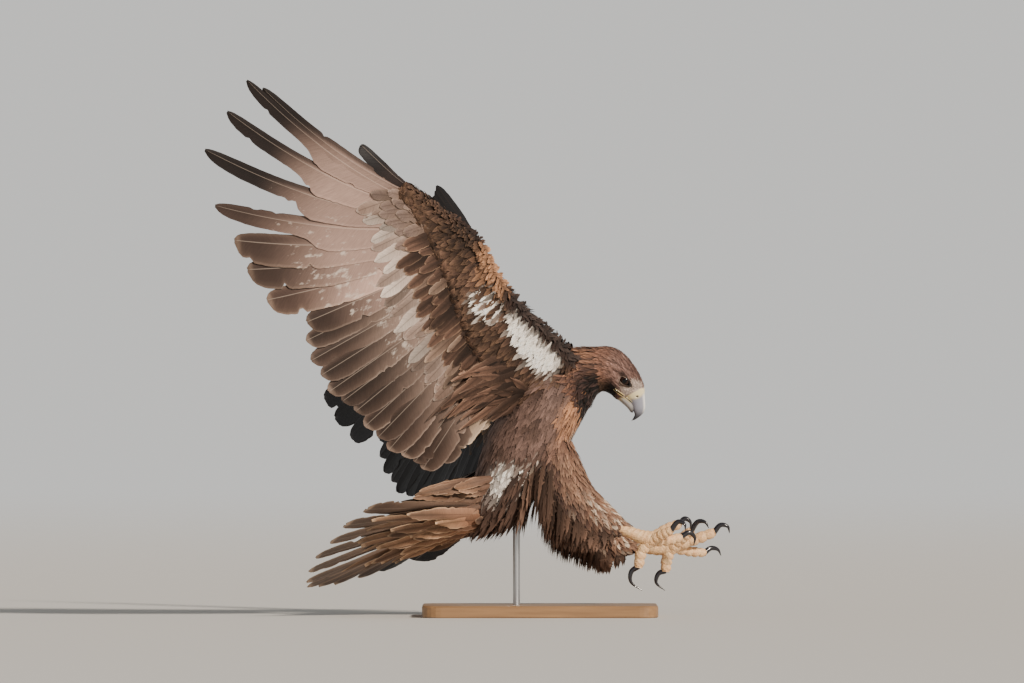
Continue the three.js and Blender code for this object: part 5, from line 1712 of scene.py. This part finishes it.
class EAGLE_OT_stage(bpy.types.Operator):
    """Sets the camera, the lights and the plain pale floor"""

    bl_idname = "eagle.stage"
    bl_label = "Stage"

    def execute(self, context):
        settings = context.scene.eagle_stage
        camera = bpy.data.cameras.new("camera")
        camera.lens = settings.lens
        camera.sensor_width = 36
        camera.clip_end = 200
        eye = bpy.data.objects.new("camera", camera)
        eye.location = (CAMERA_X * MM, -settings.distance, CAMERA_Z * MM)
        eye.rotation_euler = (math.pi / 2, 0, 0)
        context.collection.objects.link(eye)
        context.scene.camera = eye
        floor_mesh = bpy.data.meshes.new("floor")
        corners = [(x * FLOOR_HALF, y * FLOOR_HALF, 0)
                   for x, y in ((-1, -1), (1, -1), (1, 1), (-1, 1))]
        floor_mesh.from_pydata(corners, [], [(0, 1, 2, 3)])
        floor = bpy.data.objects.new("floor", floor_mesh)
        context.collection.objects.link(floor)
        # Matt paper, rolled out flat, that fades into the background far behind the bird.
        paper, tree = new_material("pale_paper_floor")
        where = add_node(tree, "ShaderNodeTexCoord")
        away = add_node(tree, "ShaderNodeVectorMath", {0: where.outputs["Object"]},
                        operation="LENGTH")
        fade = add_node(tree, "ShaderNodeMapRange", {
            "Value": away.outputs["Value"], "From Min": 1.0, "From Max": 22.0, "To Min": 1.0,
            "To Max": 0.0}, interpolation_type="SMOOTHSTEP")
        finish_surface(tree, {"Base Color": rgba(settings.paper), "Roughness": 0.9, "Alpha": fade})
        floor_mesh.materials.append(paper)
        sun = bpy.data.lights.new("key", "SUN")
        sun.energy = settings.sun
        sun.angle = SUN_ANGLE
        sun.color = rgb("#fff2e2")
        sun_object = bpy.data.objects.new("key", sun)
        sun_object.rotation_euler = Vector(SUN_WAY).to_track_quat("-Z", "Y").to_euler()
        context.collection.objects.link(sun_object)
        world = bpy.data.worlds.new("studio")
        context.scene.world = world
        world.use_nodes = True
        tree = world.node_tree
        way = add_node(tree, "ShaderNodeTexCoord")
        height = add_node(tree, "ShaderNodeSeparateXYZ", {0: way.outputs["Generated"]})
        overhead = add_node(tree, "ShaderNodeMapRange", {
            "Value": height.outputs["Z"], "From Min": 0.05, "From Max": 0.5, "To Min": 0.95,
            "To Max": 0.35}, interpolation_type="SMOOTHSTEP")
        sky = tree.nodes["Background"]
        sky.inputs["Color"].default_value = rgba("#e4e3e0")
        tree.links.new(overhead.outputs[0], sky.inputs["Strength"])
        return {"FINISHED"}


class EAGLE_PT_panel(bpy.types.Panel):
    """Steps of the eagle in the sidebar"""

    bl_idname = "EAGLE_PT_panel"
    bl_label = "Golden Eagle"
    bl_space_type = "VIEW_3D"
    bl_region_type = "UI"
    bl_category = "Eagle"

    def draw(self, context):
        for step in STEPS:
            self.layout.operator(step.bl_idname)
        for title, group in SETTINGS.items():
            for name in group.__annotations__:
                self.layout.prop(getattr(context.scene, title), name)


STEPS = (EAGLE_OT_stage, EAGLE_OT_stand, EAGLE_OT_skin, EAGLE_OT_flight_feathers, EAGLE_OT_tail,
         EAGLE_OT_body_feathers, EAGLE_OT_bill, EAGLE_OT_eyes, EAGLE_OT_feet)
CLASSES = (*SETTINGS.values(), *STEPS, EAGLE_PT_panel)


def register():
    """Adds the classes and their settings."""
    for cls in CLASSES:
        bpy.utils.register_class(cls)
    for title, group in SETTINGS.items():
        setattr(bpy.types.Scene, title, bpy.props.PointerProperty(type=group))


def unregister():
    """Takes them away again."""
    for title in SETTINGS:
        delattr(bpy.types.Scene, title)
    for cls in reversed(CLASSES):
        bpy.utils.unregister_class(cls)


def main():
    """Builds the eagle, its stand and the stage."""
    register()
    for step in STEPS:
        group, name = step.bl_idname.split(".")
        getattr(getattr(bpy.ops, group), name)()


if __name__ == "__main__":
    main()
